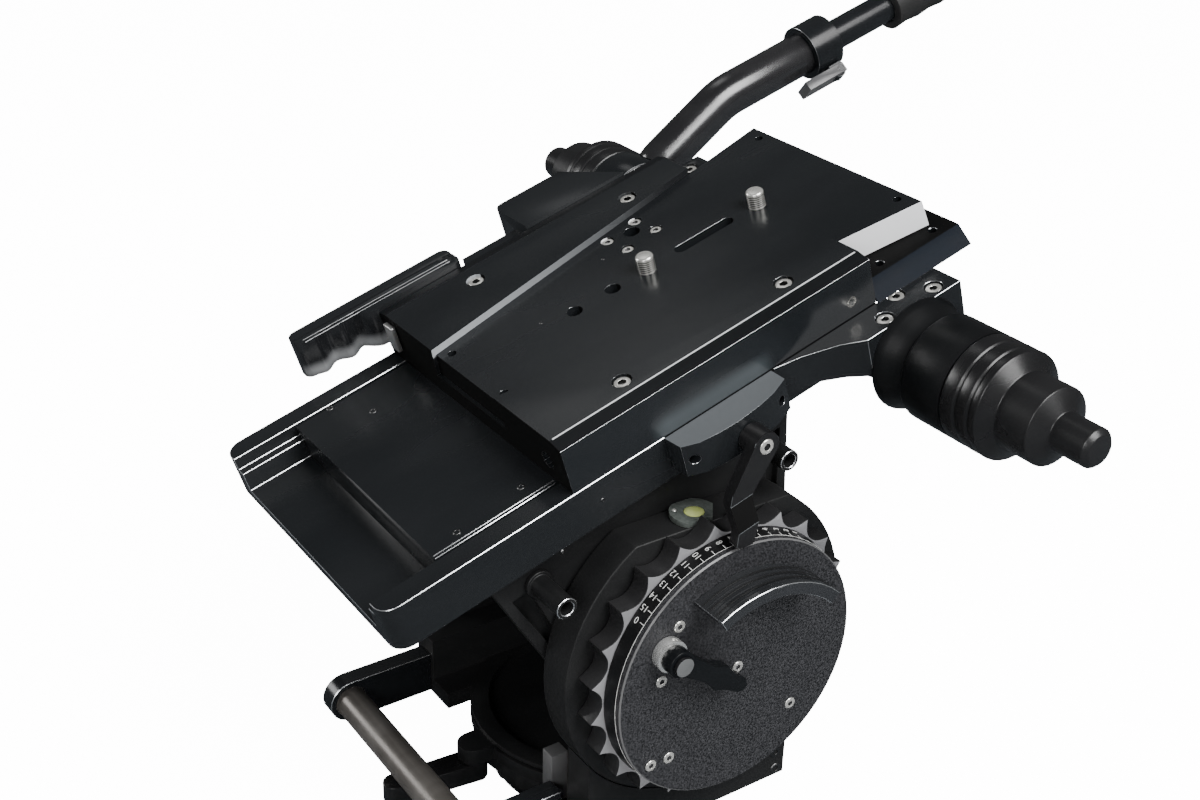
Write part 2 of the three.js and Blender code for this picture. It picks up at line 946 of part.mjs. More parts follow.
// Pan brake lever under the casting's front boss.
const panLeverTop = drumBottom - seatGap;
const panLeverOutline = [
  ...arc(0, 0, panBossRadius - seatGap, panHubStart, 2 * quarterTurn - panHubStart),
  ...arc(0, -panLeverLength, panLeverWidth / 2, 2 * quarterTurn, 4 * quarterTurn),
];
add(
  head,
  "pan_brake_lever",
  slab(panLeverOutline, panLeverTop - panLeverHeight, panLeverTop)
    .rotateZ(radians(-panLeverTurn))
    .translate(panBossX, panBossY, 0),
  "blackPlastic",
);

// Light block on the floor of the casting.
add(
  head,
  "floor_block",
  block(
    floorBlockX - floorBlockWidth / 2,
    floorBlockX + floorBlockWidth / 2,
    -floorBlockFront,
    -floorBlockFront + floorBlockDepth,
    footTop + seatGap,
    footTop + seatGap + floorBlockHeight,
  ),
  "lightMetal",
);

// Carry handle: two bars and a bright tube between them.
const carryTop = carryLevel + carryHeight / 2;
const carryBase = carryLevel - carryHeight / 2;
const carryArmOutline = [
  [-wallFront - seatGap, carryBase],
  [-wallFront - seatGap, carryTop],
  ...arc(-carryReach, carryLevel, carryHeight / 2, 90, 270),
];
const carryInnerFace = carryHalf - carryThickness / 2;
const carryPocket = bar(
  carryTubeRadius + seatGap,
  -carryInnerFace - carryTenon,
  carryInnerFace + carryTenon,
  "x",
  -carryReach,
  carryLevel,
);
for (const [side, name] of [
  [-1, "left"],
  [1, "right"],
]) {
  const centre = side * carryHalf;
  add(
    head,
    `carry_arm_${name}`,
    carve(
      sidePlate(
        carryArmOutline.slice().reverse(),
        centre - carryThickness / 2,
        centre + carryThickness / 2,
      ),
      carryPocket,
    ),
    "blackAnodised",
  );
}
const carryTubeEnd = carryInnerFace + carryTenon - seatGap;
add(
  head,
  "carry_tube",
  bar(carryTubeRadius, -carryTubeEnd, carryTubeEnd, "x", -carryReach, carryLevel),
  "steel",
);

// Everything that tilts is built about the tilt axis, level, and then turned nose-down.
const cradle = new THREE.Group();
cradle.name = "tilting_cradle";
cradle.position.set(0, 0, axisHeight);
cradle.rotation.x = radians(restTilt);
head.add(cradle);

// Cradle plates: a shield with two recesses between the ribs.
const roundAngle = THREE.MathUtils.radToDeg(Math.atan2(cradleKnee, cradleKneeHalf));
const cradleOutline = [
  [cradleTopHalf, cradleTop],
  [-cradleTopHalf, cradleTop],
  ...arc(0, 0, cradleRound, 180 - roundAngle, 360 + roundAngle, 2 * arcCount),
];
/** The recess between the two ribs at one end of a cradle plate, as [y, z] points. */
function recessOutline(end) {
  const low = cradleKnee + cradleRib;
  const high = cradleTop - cradleRib;
  const outerAt = (z) => {
    const share = (z - cradleKnee) / (cradleTop - cradleKnee);
    return cradleKneeHalf + (cradleTopHalf - cradleKneeHalf) * share - cradleRim;
  };
  const points = [
    [outerAt(low) - cradleRim / 2, low],
    [outerAt(high), high],
    [outerAt(high) - cradleRib / 2, high],
    [outerAt(low) - cradleRim, low],
  ];
  const placed = points.map(([y, z]) => [end * y, z]);
  return end > 0 ? placed : placed.reverse();
}
const cradleOuter = cradleInner + cradleThickness;
const cradleNear = carve(
  sidePlate(cradleOutline, cradleInner, cradleOuter),
  sidePlate(recessOutline(1), cradleOuter - cradleRecess, cradleOuter + overrun),
  sidePlate(recessOutline(-1), cradleOuter - cradleRecess, cradleOuter + overrun),
);
add(cradle, "cradle_near", cradleNear, "blackAnodised");
add(cradle, "cradle_far", mirrored(cradleNear), "blackAnodised");

// Counterbalance drum between the plates, with a saddle up to the tray.
const drumEnd = cradleInner - seatGap;
const bandHalf = drumPackBand / 2;
const packProfile = [
  [0, -drumEnd],
  [drumPackRadius, -drumEnd],
  [drumPackRadius, -bandHalf],
  [drumPackRadius - drumPackGroove, -bandHalf],
  [drumPackRadius - drumPackGroove, bandHalf],
  [drumPackRadius, bandHalf],
  [drumPackRadius, drumEnd],
  [0, drumEnd],
];
add(
  cradle,
  "spring_drum",
  fuse(
    turned(packProfile, "x"),
    block(-drumEnd, drumEnd, -bridgeHalf, bridgeHalf, cradleTop - bridgeHeight, cradleTop),
    block(-drumEnd, drumEnd, -bridgeHeight, bridgeHeight, 0, cradleTop),
  ),
  "blackCasting",
);

// Journals on the plates' outer faces.
const stubFlangeStart = cradleOuter + seatGap;
const stubProfile = [
  [0, stubFlangeStart],
  [stubFlangeRadius, stubFlangeStart],
  [stubFlangeRadius, stubFlangeStart + stubFlange],
  [stubRadius, stubFlangeStart + stubFlange],
  [stubRadius, stubEnd],
  [0, stubEnd],
];
const stub = turned(stubProfile, "x");
add(cradle, "tilt_stub_near", stub, "steel");
add(cradle, "tilt_stub_far", mirrored(stub), "steel");

// Hollow stop posts.
const postEnd = stubFlangeStart + postLength;
const postProfile = [
  [0, stubFlangeStart],
  [postCollarRadius, stubFlangeStart],
  [postCollarRadius, stubFlangeStart + postCollar],
  [postRadius, stubFlangeStart + postCollar],
  [postRadius, postEnd],
  [postBoreRadius, postEnd],
  [postBoreRadius, postEnd - postBoreDepth],
  [0, postEnd - postBoreDepth],
];
for (const [end, place] of [
  [-1, "front"],
  [1, "rear"],
]) {
  const post = turned(postProfile, "x", rodCount).translate(
    0,
    end * postOffset * Math.sin(radians(stopAngle)),
    postOffset * Math.cos(radians(stopAngle)),
  );
  add(cradle, `stop_post_near_${place}`, post, "blackAnodised");
  add(cradle, `stop_post_far_${place}`, mirrored(post), "blackAnodised");
}

// Tray: an open channel with a ledge, its front corners rounded.
const trayBottom = trayTop - trayHeight;
const trayFloor = trayTop - trayFloorDepth;
const trayLedge = trayTop - trayLedgeDepth;
const traySection = [
  [-trayHalf, trayBottom],
  [trayHalf, trayBottom],
  [trayHalf, trayTop],
  [trayWallInner, trayTop],
  [trayWallInner, trayLedge],
  [trayLedgeInner, trayLedge],
  [trayLedgeInner, trayFloor],
  [-trayLedgeInner, trayFloor],
  [-trayLedgeInner, trayLedge],
  [-trayWallInner, trayLedge],
  [-trayWallInner, trayTop],
  [-trayHalf, trayTop],
];
const trayPlan = rounded(-trayHalf, trayHalf, -trayFront, trayRear, [
  trayCorner,
  trayCorner,
  seatGap,
  seatGap,
]);
const trayBlock = solid(frontPlate(traySection, -trayFront - overrun, trayRear + overrun));
const trayCutter = solid(slab(trayPlan, trayBottom - overrun, trayTop + overrun));
add(cradle, "tray", surface(trayBlock.intersect(trayCutter)), "blackAnodised");

// Lugs on the tray's sides, with two pin holes each and a bore for the lock shaft.
const lugShares = [
  [0, 0],
  [0.64, 0.015],
  [0.88, 0.14],
  [0.97, 0.3],
  [1, 0.48],
  [0.93, 0.68],
  [0.82, 0.84],
  [0.58, 1],
  [0, 1],
];
const lugInner = trayHalf + seatGap;
const lugOutline = lugShares.map(([w, l]) => [lugInner + lugReach * w, lugFront + lugLength * l]);
const lugOuter = lugInner + lugReach;
const lockZ = trayTop - lockDrop;
const lugMiddle = trayTop - lugHeight / 2;
const lugPlain = carve(
  slab(lugOutline, trayTop - lugHeight, trayTop),
  ...[lugFront + lugHoleInset, lugFront + lugLength - lugHoleInset].map((y) =>
    bar(lugHoleRadius, lugInner + lugHoleDepth, lugOuter + overrun, "x", y, lugMiddle, holeCount),
  ),
);
add(
  cradle,
  "tray_lug_near",
  carve(
    lugPlain,
    bar(lockShaftRadius + runGap, lugOuter - lockShaftIn - seatGap, lugOuter + overrun, "x", lockY, lockZ),
  ),
  "blackAnodised",
);
add(cradle, "tray_lug_far", mirrored(lugPlain), "blackAnodised");

// Slide lock lever: a shaft into the lug, a boss, and a blade that is cranked out over the dial.
const lockBladeStart = lugOuter + lockBladeGap;
const lockBladeEnd = lockBladeStart + lockBladeDepth;
const lockBladeShares = [
  [-0.18, 0.11],
  [-0.72, -0.38],
  [-0.97, -0.84],
  [-1, -0.9],
  [-0.96, -0.95],
  [-0.74, -1],
  [-0.69, -0.96],
  [-0.43, -0.55],
  [0.1, -0.18],
];
const lockBladeSide = lockBladeShares.map(([lead, fall]) => [lockLead * lead, lockFall * fall]);
const lockKnee = -lockFall * 0.52;
const lockElbow = -lockFall * 0.74;
const lockCrankOutline = [
  [lockBladeStart, lockBossRadius],
  [lockBladeStart, lockKnee],
  [lockBladeStart + lockCrank, lockElbow],
  [lockBladeStart + lockCrank, -lockFall - overrun],
  [lockBladeEnd + lockCrank, -lockFall - overrun],
  [lockBladeEnd + lockCrank, lockElbow],
  [lockBladeEnd, lockKnee],
  [lockBladeEnd, lockBossRadius],
];
const lockBlade = solid(sidePlate(lockBladeSide, lockBladeStart, lockBladeEnd + lockCrank)).intersect(
  solid(frontPlate(lockCrankOutline, -lockLead - overrun, lockBossRadius)),
);
add(
  cradle,
  "slide_lock_lever",
  fuse(
    bar(lockShaftRadius, lugOuter - lockShaftIn, lugOuter + lockBladeGap, "x", 0, 0),
    bar(lockBossRadius, lugOuter + seatGap, lockBladeEnd, "x", 0, 0),
    surface(lockBlade),
  ).translate(0, lockY, lockZ),
  "blackAnodised",
);

// Rear arms: curved in plan and rising towards the mount in side view.
const armShares = [
  [0, 0],
  [0.2, 0.15],
  [0.6, 0.32],
  [1, 0.42],
  [1, 1],
  [0, 1],
];
const armFront = lugFront + lugLength + seatGap;
const armInner = trayHalf + seatGap;
const armPlan = armShares.map(([w, l]) => [armInner + armReach * w, armFront + armLength * l]);
const armOuter = armInner + armReach;
const armSideShares = [
  [0, 0],
  [1, 0],
  [1, 0.62],
  [0.8, 1],
  [0.6, 1],
  [0.5, 0.72],
  [0.4, 0.5],
  [0.2, 0.41],
  [0, 0.47],
];
const armSide = armSideShares.map(([l, d]) => [armFront + armLength * l, trayTop - armDrop * d]);
const armScrewShares = [
  [0.14, 0.74],
  [0.64, 0.585],
  [0.64, 0.89],
];
const armSolid = solid(slab(armPlan, trayTop - armDrop - overrun, trayTop)).intersect(
  solid(sidePlate(armSide.slice().reverse(), armInner - overrun, armOuter + overrun)),
);
const armNear = carve(
  surface(armSolid),
  ...armScrewShares.map(([w, l]) =>
    bar(
      armScrewRadius,
      trayTop - armScrewDepth,
      trayTop + overrun,
      "z",
      armInner + armReach * w,
      armFront + armLength * l,
      holeCount,
    ),
  ),
);
add(cradle, "rear_arm_near", armNear, "blackAnodised");
add(cradle, "rear_arm_far", mirrored(armNear), "blackAnodised");

// Handle mounts: a flared neck, a waist and a stem; on the dial side the ring is part of it.
const neckStart = armOuter + seatGap;
const neckEnd = neckStart + neckLength;
const ringStart = neckEnd + seatGap;
const ringEnd = ringStart + ringDepth;
const knobStart = ringEnd + seatGap;
const neckShares = [
  [0, 1],
  [0.25, 0.72],
  [0.5, 0.4],
  [0.75, 0.12],
  [0.94, 0],
];
const neckEdge = neckShares.map(([l, r]) => [
  neckWaist + (neckRadius - neckWaist) * r,
  neckStart + neckLength * l,
]);
const mountStem = [
  [mountStemRadius, knobStart + mountStemReach],
  [0, knobStart + mountStemReach],
];
const farMount = turned(
  [[0, neckStart], ...neckEdge, [neckWaist, neckEnd], [mountStemRadius, neckEnd], ...mountStem],
  "x",
  midCount,
).translate(0, mountY, mountZ);
const nearMount = turned(
  [
    [0, neckStart],
    ...neckEdge,
    [ringRadius - ringGroove, neckEnd],
    [ringRadius, neckEnd + ringGroove],
    [ringRadius, ringEnd],
    [mountStemRadius, ringEnd],
    ...mountStem,
  ],
  "x",
  midCount,
).translate(0, mountY, mountZ);
add(cradle, "handle_mount_near", nearMount, "blackAnodised");
add(cradle, "handle_mount_far", mirrored(farMount), "blackAnodised");

// Clamp knobs: a grooved drum, a waist and a small end.
const knobDrumEnd = knobStart + knobDrumDepth;
const knobWaistEnd = knobDrumEnd + knobWaistDepth;
const knobEnd = knobWaistEnd + knobTipDepth;
const knobGrooves = [0.3, 0.6].flatMap((share) => {
  const at = knobStart + knobDrumDepth * share;
  return [
    [ringRadius, at],
    [ringRadius - knobGroove, at + knobGroove],
    [ringRadius, at + 2 * knobGroove],
  ];
});
const knobSolid = turned(
  [
    [mountStemRadius + runGap, knobStart],
    [ringRadius - ringGroove, knobStart],
    [ringRadius, knobStart + ringGroove],
    ...knobGrooves,
    [ringRadius, knobDrumEnd - knobTaper],
    [knobWaist, knobDrumEnd],
    [knobWaist, knobWaistEnd - knobTaper],
    [knobTipRadius, knobWaistEnd],
    [knobTipRadius, knobEnd - knobTaper / 2],
    [knobTipRadius - knobTaper / 2, knobEnd],
    [0, knobEnd],
    [0, knobStart + mountStemReach + seatGap],
    [mountStemRadius + runGap, knobStart + mountStemReach + seatGap],
  ],
  "x",
  midCount,
);
const knob = knobSolid.translate(0, mountY, mountZ);
add(cradle, "mount_knob_near", knob, "blackPlastic");
add(cradle, "mount_knob_far", mirrored(knob), "blackPlastic");

// Handle ring on the far mount's stem, and the bent tube that leaves it.
const handleX = -(ringStart + ringEnd) / 2;
add(
  cradle,
  "handle_ring",
  turned(
    [
      [mountStemRadius + runGap, -ringEnd],
      [ringRadius - ringGroove, -ringEnd],
      [ringRadius, -ringEnd + ringGroove],
      [ringRadius, -ringStart - ringGroove],
      [ringRadius - ringGroove, -ringStart],
      [mountStemRadius + runGap, -ringStart],
    ],
    "x",
    midCount,
  ).translate(0, mountY, mountZ),
  "blackAnodised",
);

/** Points of a route in the handle's plane, with its corner rounded, as [y, z]. */
function rounding(before, corner, after, radius, count) {
  const toBefore = new THREE.Vector2(...before).sub(new THREE.Vector2(...corner)).normalize();
  const toAfter = new THREE.Vector2(...after).sub(new THREE.Vector2(...corner)).normalize();
  const half = Math.acos(toBefore.dot(toAfter)) / 2;
  const reach = radius / Math.tan(half);
  const start = new THREE.Vector2(...corner).addScaledVector(toBefore, reach);
  const end = new THREE.Vector2(...corner).addScaledVector(toAfter, reach);
  const middle = new THREE.Vector2(...corner);
  const points = [];
  for (let i = 0; i <= count; i += 1) {
    const t = i / count;
    const a = start.clone().lerp(middle, t);
    const b = middle.clone().lerp(end, t);
    points.push(a.lerp(b, t));
  }
  return points;
}
const rampY = mountY + handleRun;
const rampZ = mountZ + handleRise;
const levelY = rampY + handleSecondRun;
const levelZ = rampZ + handleSecondRise;
const tubeStart = [mountY, mountZ];
const tubeEnd = [mountY + handleEnd, levelZ];
const route = [
  ...rounding(tubeStart, [rampY, rampZ], [levelY, levelZ], bendRadius, 4),
  ...rounding([rampY, rampZ], [levelY, levelZ], tubeEnd, 2 * bendRadius, 6),
];
const stations = [new THREE.Vector2(...tubeStart), ...route, new THREE.Vector2(...tubeEnd)].map(
  (p) => new THREE.Vector3(handleX, p.x, p.y),
);

/** A tube of one radius along straight runs between stations, mitred at each of them. */
function pipe(points, radius, segments) {
  const positions = [];
  const index = [];
  const across = new THREE.Vector3(1, 0, 0);
  points.forEach((point, i) => {
    const back = i > 0 ? point.clone().sub(points[i - 1]).normalize() : null;
    const ahead = i < points.length - 1 ? points[i + 1].clone().sub(point).normalize() : null;
    const along = (back || ahead).clone().add(ahead || back).normalize();
    const up = new THREE.Vector3().crossVectors(along, across).normalize();
    const stretch = back && ahead ? 1 / Math.cos(back.angleTo(ahead) / 2) : 1;
    for (let k = 0; k < segments; k += 1) {
      const t = (2 * Math.PI * k) / segments;
      const spot = point
        .clone()
        .addScaledVector(across, radius * Math.cos(t))
        .addScaledVector(up, radius * stretch * Math.sin(t));
      positions.push(spot.x, spot.y, spot.z);
    }
  });
  const rings = points.length;
  for (let i = 0; i < rings - 1; i += 1) {
    for (let k = 0; k < segments; k += 1) {
      const a = i * segments + k;
      const b = i * segments + ((k + 1) % segments);
      index.push(a, a + segments, b, b, a + segments, b + segments);
    }
  }
  for (let k = 1; k < segments - 1; k += 1) {
    const last = (rings - 1) * segments;
    index.push(0, k, k + 1);
    index.push(last, last + k + 1, last + k);
  }
  const geometry = new THREE.BufferGeometry();
  geometry.setAttribute("position", new THREE.Float32BufferAttribute(positions, 3));
  geometry.setIndex(index);
  return geometry;
}

/** The same geometry with its faces turned outwards. */
function outward(geometry) {
  const plain = geometry.clone();
  const merged = mergeVertices(plain, weld);
  const mesh = new wasm.Mesh({
    numProp: 3,
    vertProperties: new Float32Array(merged.attributes.position.array),
    triVerts: new Uint32Array(merged.index.array),
  });
  if (new wasm.Manifold(mesh).volume() > 0) return geometry;
  const index = Array.from(geometry.index.array);
  for (let i = 0; i < index.length; i += 3) {
    [index[i + 1], index[i + 2]] = [index[i + 2], index[i + 1]];
  }
  geometry.setIndex(index);
  return geometry;
}
const innerBore = innerRadius + innerBoreGap;
const tubeEndY = mountY + handleEnd;
add(
  cradle,
  "pan_handle",
  carve(
    outward(pipe(stations, tubeRadius, rodCount)),
    bar(
      ringRadius + seatGap,
      handleX - ringDepth,
      handleX + ringDepth,
      "x",
      mountY,
      mountZ,
      midCount,
    ),
    bar(innerBore, tubeEndY - innerInside - seatGap, tubeEndY + overrun, "y", handleX, levelZ),
  ),
  "blackAnodised",
);

// Clamp collar at the tube's end, with an ear and a pin, and the lever that folds along the tube.
// Both are built round the tube's own axis, the ear straight below, and then turned about it.
const collarStart = tubeEndY + seatGap;
const collarEnd = collarStart + collarLength;
const earRear = collarEnd - collarPinRadius;
const earMiddle = earRear - collarEarLength / 2;
const earHalf = collarEarWidth / 2;
const collarLeverTop = -collarRadius - collarLeverLift;
const collarPinZ = collarLeverTop - collarLeverDepth / 2;
const collarPinHalf = collarLeverWidth / 2;
const collarHeel = earMiddle + collarLeverDepth / 2;
/** A piece of the clamp turned to its side of the tube and placed there. */
function onTube(geometry) {
  return geometry.rotateY(radians(collarTurn)).translate(handleX, 0, levelZ);
}
add(
  cradle,
  "handle_collar",
  onTube(
    carve(
      fuse(
        bar(collarRadius, collarStart, collarEnd, "y", 0, 0, roundCount / 2),
        block(-earHalf, earHalf, earRear - collarEarLength, earRear, collarPinZ, -innerRadius),
        bar(collarEarLength / 2, -earHalf, earHalf, "x", earMiddle, collarPinZ, holeCount),
        bar(collarPinRadius, -collarPinHalf, collarPinHalf, "x", earMiddle, collarPinZ, holeCount),
      ),
      bar(innerBore, collarStart - overrun, collarEnd + overrun, "y", 0, 0),
    ),
  ),
  "blackAnodised",
);
const collarForkHalf = earHalf + seatGap;
add(
  cradle,
  "collar_lever",
  onTube(
    carve(
      block(
        -collarLeverWidth / 2,
        collarLeverWidth / 2,
        collarHeel - collarLeverLength,
        collarHeel,
        collarLeverTop - collarLeverDepth,
        collarLeverTop,
      ),
      block(
        -collarForkHalf,
        collarForkHalf,
        earRear - collarEarLength - seatGap,
        earRear + overrun,
        collarLeverTop - collarLeverDepth - overrun,
        collarLeverTop + overrun,
      ),
      bar(
        collarPinRadius + runGap,
        -collarLeverWidth,
        collarLeverWidth,
        "x",
        earMiddle,
        collarPinZ,
        holeCount,
      ),
    ),
  ),
  "greyPlastic",
);
const innerStart = tubeEndY - innerInside;
const innerEnd = innerStart + innerLength;
add(
  cradle,
  "handle_inner",
  bar(innerRadius, innerStart, innerEnd, "y", handleX, levelZ),
  "blackAnodised",
);
const gripEndY = innerEnd - seatGap;
const gripStartY = gripEndY - gripLength;
const gripWave = [];
for (let i = 0; i <= 2 * gripBeads; i += 1) {
  const at = gripStartY + gripBead + ((gripLength - 2 * gripBead) * i) / (2 * gripBeads);
  gripWave.push([gripRadius - (i % 2 ? gripBead : 0), at]);
}
add(
  cradle,
  "handle_grip",
  turned(
    [[innerRadius + seatGap, gripStartY], ...gripWave, [innerRadius + seatGap, gripEndY]],
    "y",
    rodCount,
  ).translate(handleX, 0, levelZ),
  "rubber",
);
add(
  cradle,
  "grip_cap",
  turned(
    [
      [0, innerEnd + seatGap],
      [gripRadius, innerEnd + seatGap],
      [gripRadius, innerEnd + capDepth / 2],
      [gripRadius - capDepth / 4, innerEnd + capDepth],
      [0, innerEnd + capDepth],
    ],
    "y",
    rodCount,
  ).translate(handleX, 0, levelZ),
  "blackPlastic",
);

// The sliding platform is built in platform coordinates: y = 0 and z = 0 at the tray's top.
const platform = new THREE.Group();
platform.name = "platform";
platform.position.set(0, axisOffsetY, trayTop);
cradle.add(platform);

// Sliding plate in the tray's channel.
const plateSection = [
  [-plateLower, -trayFloorDepth + seatGap],
  [plateLower, -trayFloorDepth + seatGap],
  [plateLower, -plateLip],
  [plateHalf, -plateLip],
  [plateHalf, 0],
  [-plateHalf, 0],
  [-plateHalf, -plateLip],
  [-plateLower, -plateLip],
];
add(platform, "dovetail_plate", frontPlate(plateSection, -plateFront, plateRear), "blackAnodised");

/** The wedge's half-width at a place along Y, measured at its top face. */
function wedgeHalf(y) {
  return wedgeFrontHalf + wedgeTaper * (y + blockFront);
}
/** The wedge's four-sided outline between two places along Y, widened by an amount. */
function wedgeOutline(y0, y1, wider) {
  return [
    [-wedgeHalf(y0) - wider, y0],
    [wedgeHalf(y0) + wider, y0],
    [wedgeHalf(y1) + wider, y1],
    [-wedgeHalf(y1) - wider, y1],
  ];
}
const undercutRate = wedgeUndercut / (wedgeTop - wedgeFloor);
const blockSection = [
  [-blockHalf, seatGap],
  [blockHalf, seatGap],
  [blockHalf, blockTop - blockBevel],
  [blockTopHalf, blockTop],
  [-blockTopHalf, blockTop],
  [-blockHalf, blockTop - blockBevel],
];
const channelTop = blockTop + overrun;
const channel = loft(
  wedgeOutline(-blockFront - overrun, blockRear + overrun, wedgeUndercut + seatGap),
  wedgeOutline(
    -blockFront - overrun,
    blockRear + overrun,
    seatGap + wedgeUndercut - undercutRate * (channelTop - wedgeFloor),
  ),
  wedgeFloor,
  channelTop,
);
const blockScrewShares = [
  [-0.837, 0.264],
  [-0.8, 0.792],
  [0.875, 0.259],
  [0.881, 0.787],
];
const blockLength = blockFront + blockRear;
add(
  platform,
  "adaptor_body",
  carve(
    frontPlate(blockSection, -blockFront, blockRear),
    channel,
    ...blockScrewShares.map(([w, l]) =>
      bar(
        capScrewRadius,
        blockTop - capScrewDepth,
        blockTop + overrun,
        "z",
        blockTopHalf * w,
        blockLength * l - blockFront,
        holeCount,
      ),
    ),
    bar(insertRadius, -blockFront - overrun, -blockFront + insertDepth, "y", insertX, insertZ, holeCount),
  ),
  "blackAnodised",
);

// Flange behind the block, with sloping sides and four small holes.
const rearBaseStart = blockRear + seatGap;
const rearSection = [
  [-rearBaseFootHalf, seatGap],
  [rearBaseFootHalf, seatGap],
  [rearBaseTopHalf, rearBaseHeight],
  [-rearBaseTopHalf, rearBaseHeight],
];
add(
  platform,
  "rear_base",
  carve(
    frontPlate(rearSection, rearBaseStart, rearBaseEnd),
    ...[-1, 1].flatMap((side) =>
      [rearHoleFront, rearHoleRear].map((y) =>
        bar(rearHoleRadius, -overrun, rearBaseHeight + overrun, "z", side * rearHoleX, y, holeCount),
      ),
    ),
  ),
  "blackAnodised",
);

// Wedge plate with its slot, pin hole, screw holes and counterbores.
const slotHole = slab(
  [
    ...arc(slotX, slotFront, slotWidth / 2, 180, 360, 8),
    ...arc(slotX, slotRear, slotWidth / 2, 0, 180, 8),
  ],
  0,
  blockTop,
);
const pinScrews = pinScrewTurns.map((turn) => [
  pinScrewMiddleX + pinScrewRing * Math.cos(radians(turn)),
  pinScrewMiddleY + pinScrewRing * Math.sin(radians(turn)),
]);
const cornerHoles = [-1, 1].flatMap((side) => [
  [side * (wedgeHalf(-wedgeFront) - cornerInset), -wedgeFront + cornerInset],
  [side * (wedgeHalf(wedgeRear) - 2 * cornerInset), wedgeRear - cornerInset],
]);
/** A round hole through the wedge plate. */
function through(radius, x, y) {
  return bar(radius, 0, blockTop, "z", x, y, holeCount);
}
add(
  platform,
  "wedge_plate",
  carve(
    loft(
      wedgeOutline(-wedgeFront, wedgeRear, wedgeUndercut),
      wedgeOutline(-wedgeFront, wedgeRear, 0),
      wedgeFloor + seatGap,
      wedgeTop,
    ),
    slotHole,
    through(pinHoleRadius, pinHoleX, pinHoleY),
    through(lineHoleRadius, slotX, lineHoleRear),
    through(lineHoleRadius, slotX, lineHoleFront),
    through(screwRadius + screwClear, screwX, screwFrontY),
    through(screwRadius + screwClear, screwX, screwRearY),
    ...cornerHoles.map(([x, y]) => through(cornerHoleRadius, x, y)),
    ...pinScrews.map(([x, y]) =>
      bar(pinScrewRadius, wedgeTop - pinScrewDepth, blockTop, "z", x, y, holeCount),
    ),
  ),
  "blackAnodised",
);
for (const [place, y] of [
  ["front", screwFrontY],
  ["rear", screwRearY],
]) {
  const profile = [
    [0, wedgeTop - screwBelow],
    [screwRadius, wedgeTop - screwBelow],
    [screwRadius, wedgeTop + screwRise - screwChamfer],
    [screwRadius - screwChamfer, wedgeTop + screwRise],
    [0, wedgeTop + screwRise],
  ];
  add(platform, `camera_screw_${place}`, turned(profile, "z", rodCount).translate(screwX, y, 0), "steel");
}

// Clamp lever: a long blade with finger waves, turning on a pin of its housing.
const waveSpan = leverTip - leverWaveStart - leverCorner * 2;
const leverWaves = [];
const waveSteps = 24;
for (let i = 0; i <= waveSteps; i += 1) {
  const share = i / waveSteps;
  const swell = leverWave * Math.cos(share * Math.PI * 4 + Math.PI);
  leverWaves.push([
    -leverInner - leverWaveIn * Math.min(1, 4 * share) - swell * Math.min(1, 4 * share),
    -leverWaveStart - waveSpan * share,
  ]);
}
const leverOutline = [
  ...leverWaves,
  ...arc(-leverInner - leverWaveIn - leverCorner, -leverTip + leverCorner, leverCorner, 0, -90, 5),
  ...arc(-leverOuter + leverCorner, -leverTip + leverCorner, leverCorner, 270, 180, 5),
  ...arc(-leverOuter + leverCorner, -leverEnd - leverCorner, leverCorner, 180, 90, 5),
  ...arc(-leverInner - leverCorner, -leverEnd - leverCorner, leverCorner, 90, 0, 5),
].reverse();
const grooveX = -leverOuter + leverGrooveInset;
add(
  platform,
  "clamp_lever",
  carve(
    slab(leverOutline, leverBottom, leverTop),
    block(
      grooveX - leverGrooveWidth / 2,
      grooveX + leverGrooveWidth / 2,
      -leverTip - overrun,
      -leverEnd + overrun,
      leverTop - leverGrooveDepth,
      leverTop + overrun,
    ),
    bar(
      leverPinRadius + runGap,
      leverBottom - overrun,
      leverTop + overrun,
      "z",
      -leverPivotX,
      -leverPivotY,
    ),
  ),
  "blackAnodised",
);
const houseInner = blockHalf + seatGap;
add(
  platform,
  "lever_housing",
  fuse(
    slab(
      [
        ...arc(-houseOuter + houseCorner, -houseFront + houseCorner, houseCorner, 180, 270, 6),
        [-houseInner, -houseFront],
        [-houseInner, houseRear],
        [-houseOuter, houseRear - houseSlant],
      ],
      leverBottom,
      blockTop,
    ),
    block(-stripOuter, -houseInner, -stripFront, -houseFront + overrun, seatGap * 2, stripTop),
    slab(
      rounded(-tongueOuter, -houseInner, -tongueFront, -houseFront, [
        leverCorner,
        leverCorner,
        seatGap,
        seatGap,
      ]),
      seatGap * 2,
      tongueTop,
    ),
    bar(leverPinRadius, tongueTop - overrun, leverTop - seatGap, "z", -leverPivotX, -leverPivotY),
  ),
  "blackAnodised",
);

// Light bracket at the block's front corner.
add(
  platform,
  "clamp_bracket",
  block(
    -blockTopHalf,
    -blockTopHalf + bracketLength,
    -blockFront - bracketWidth / 3,
    -blockFront - seatGap,
    bracketBottom,
    bracketTop,
  ),
  "lightMetal",
);

export default head;
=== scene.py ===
"""Looks of a fluid video head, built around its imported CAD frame. Sizes are in millimetres."""

import json
import logging
import math
from dataclasses import dataclass
from enum import Enum
from functools import cache
from typing import Callable, ClassVar, Iterable, Sequence

import bpy
from mathutils import Matrix, Vector

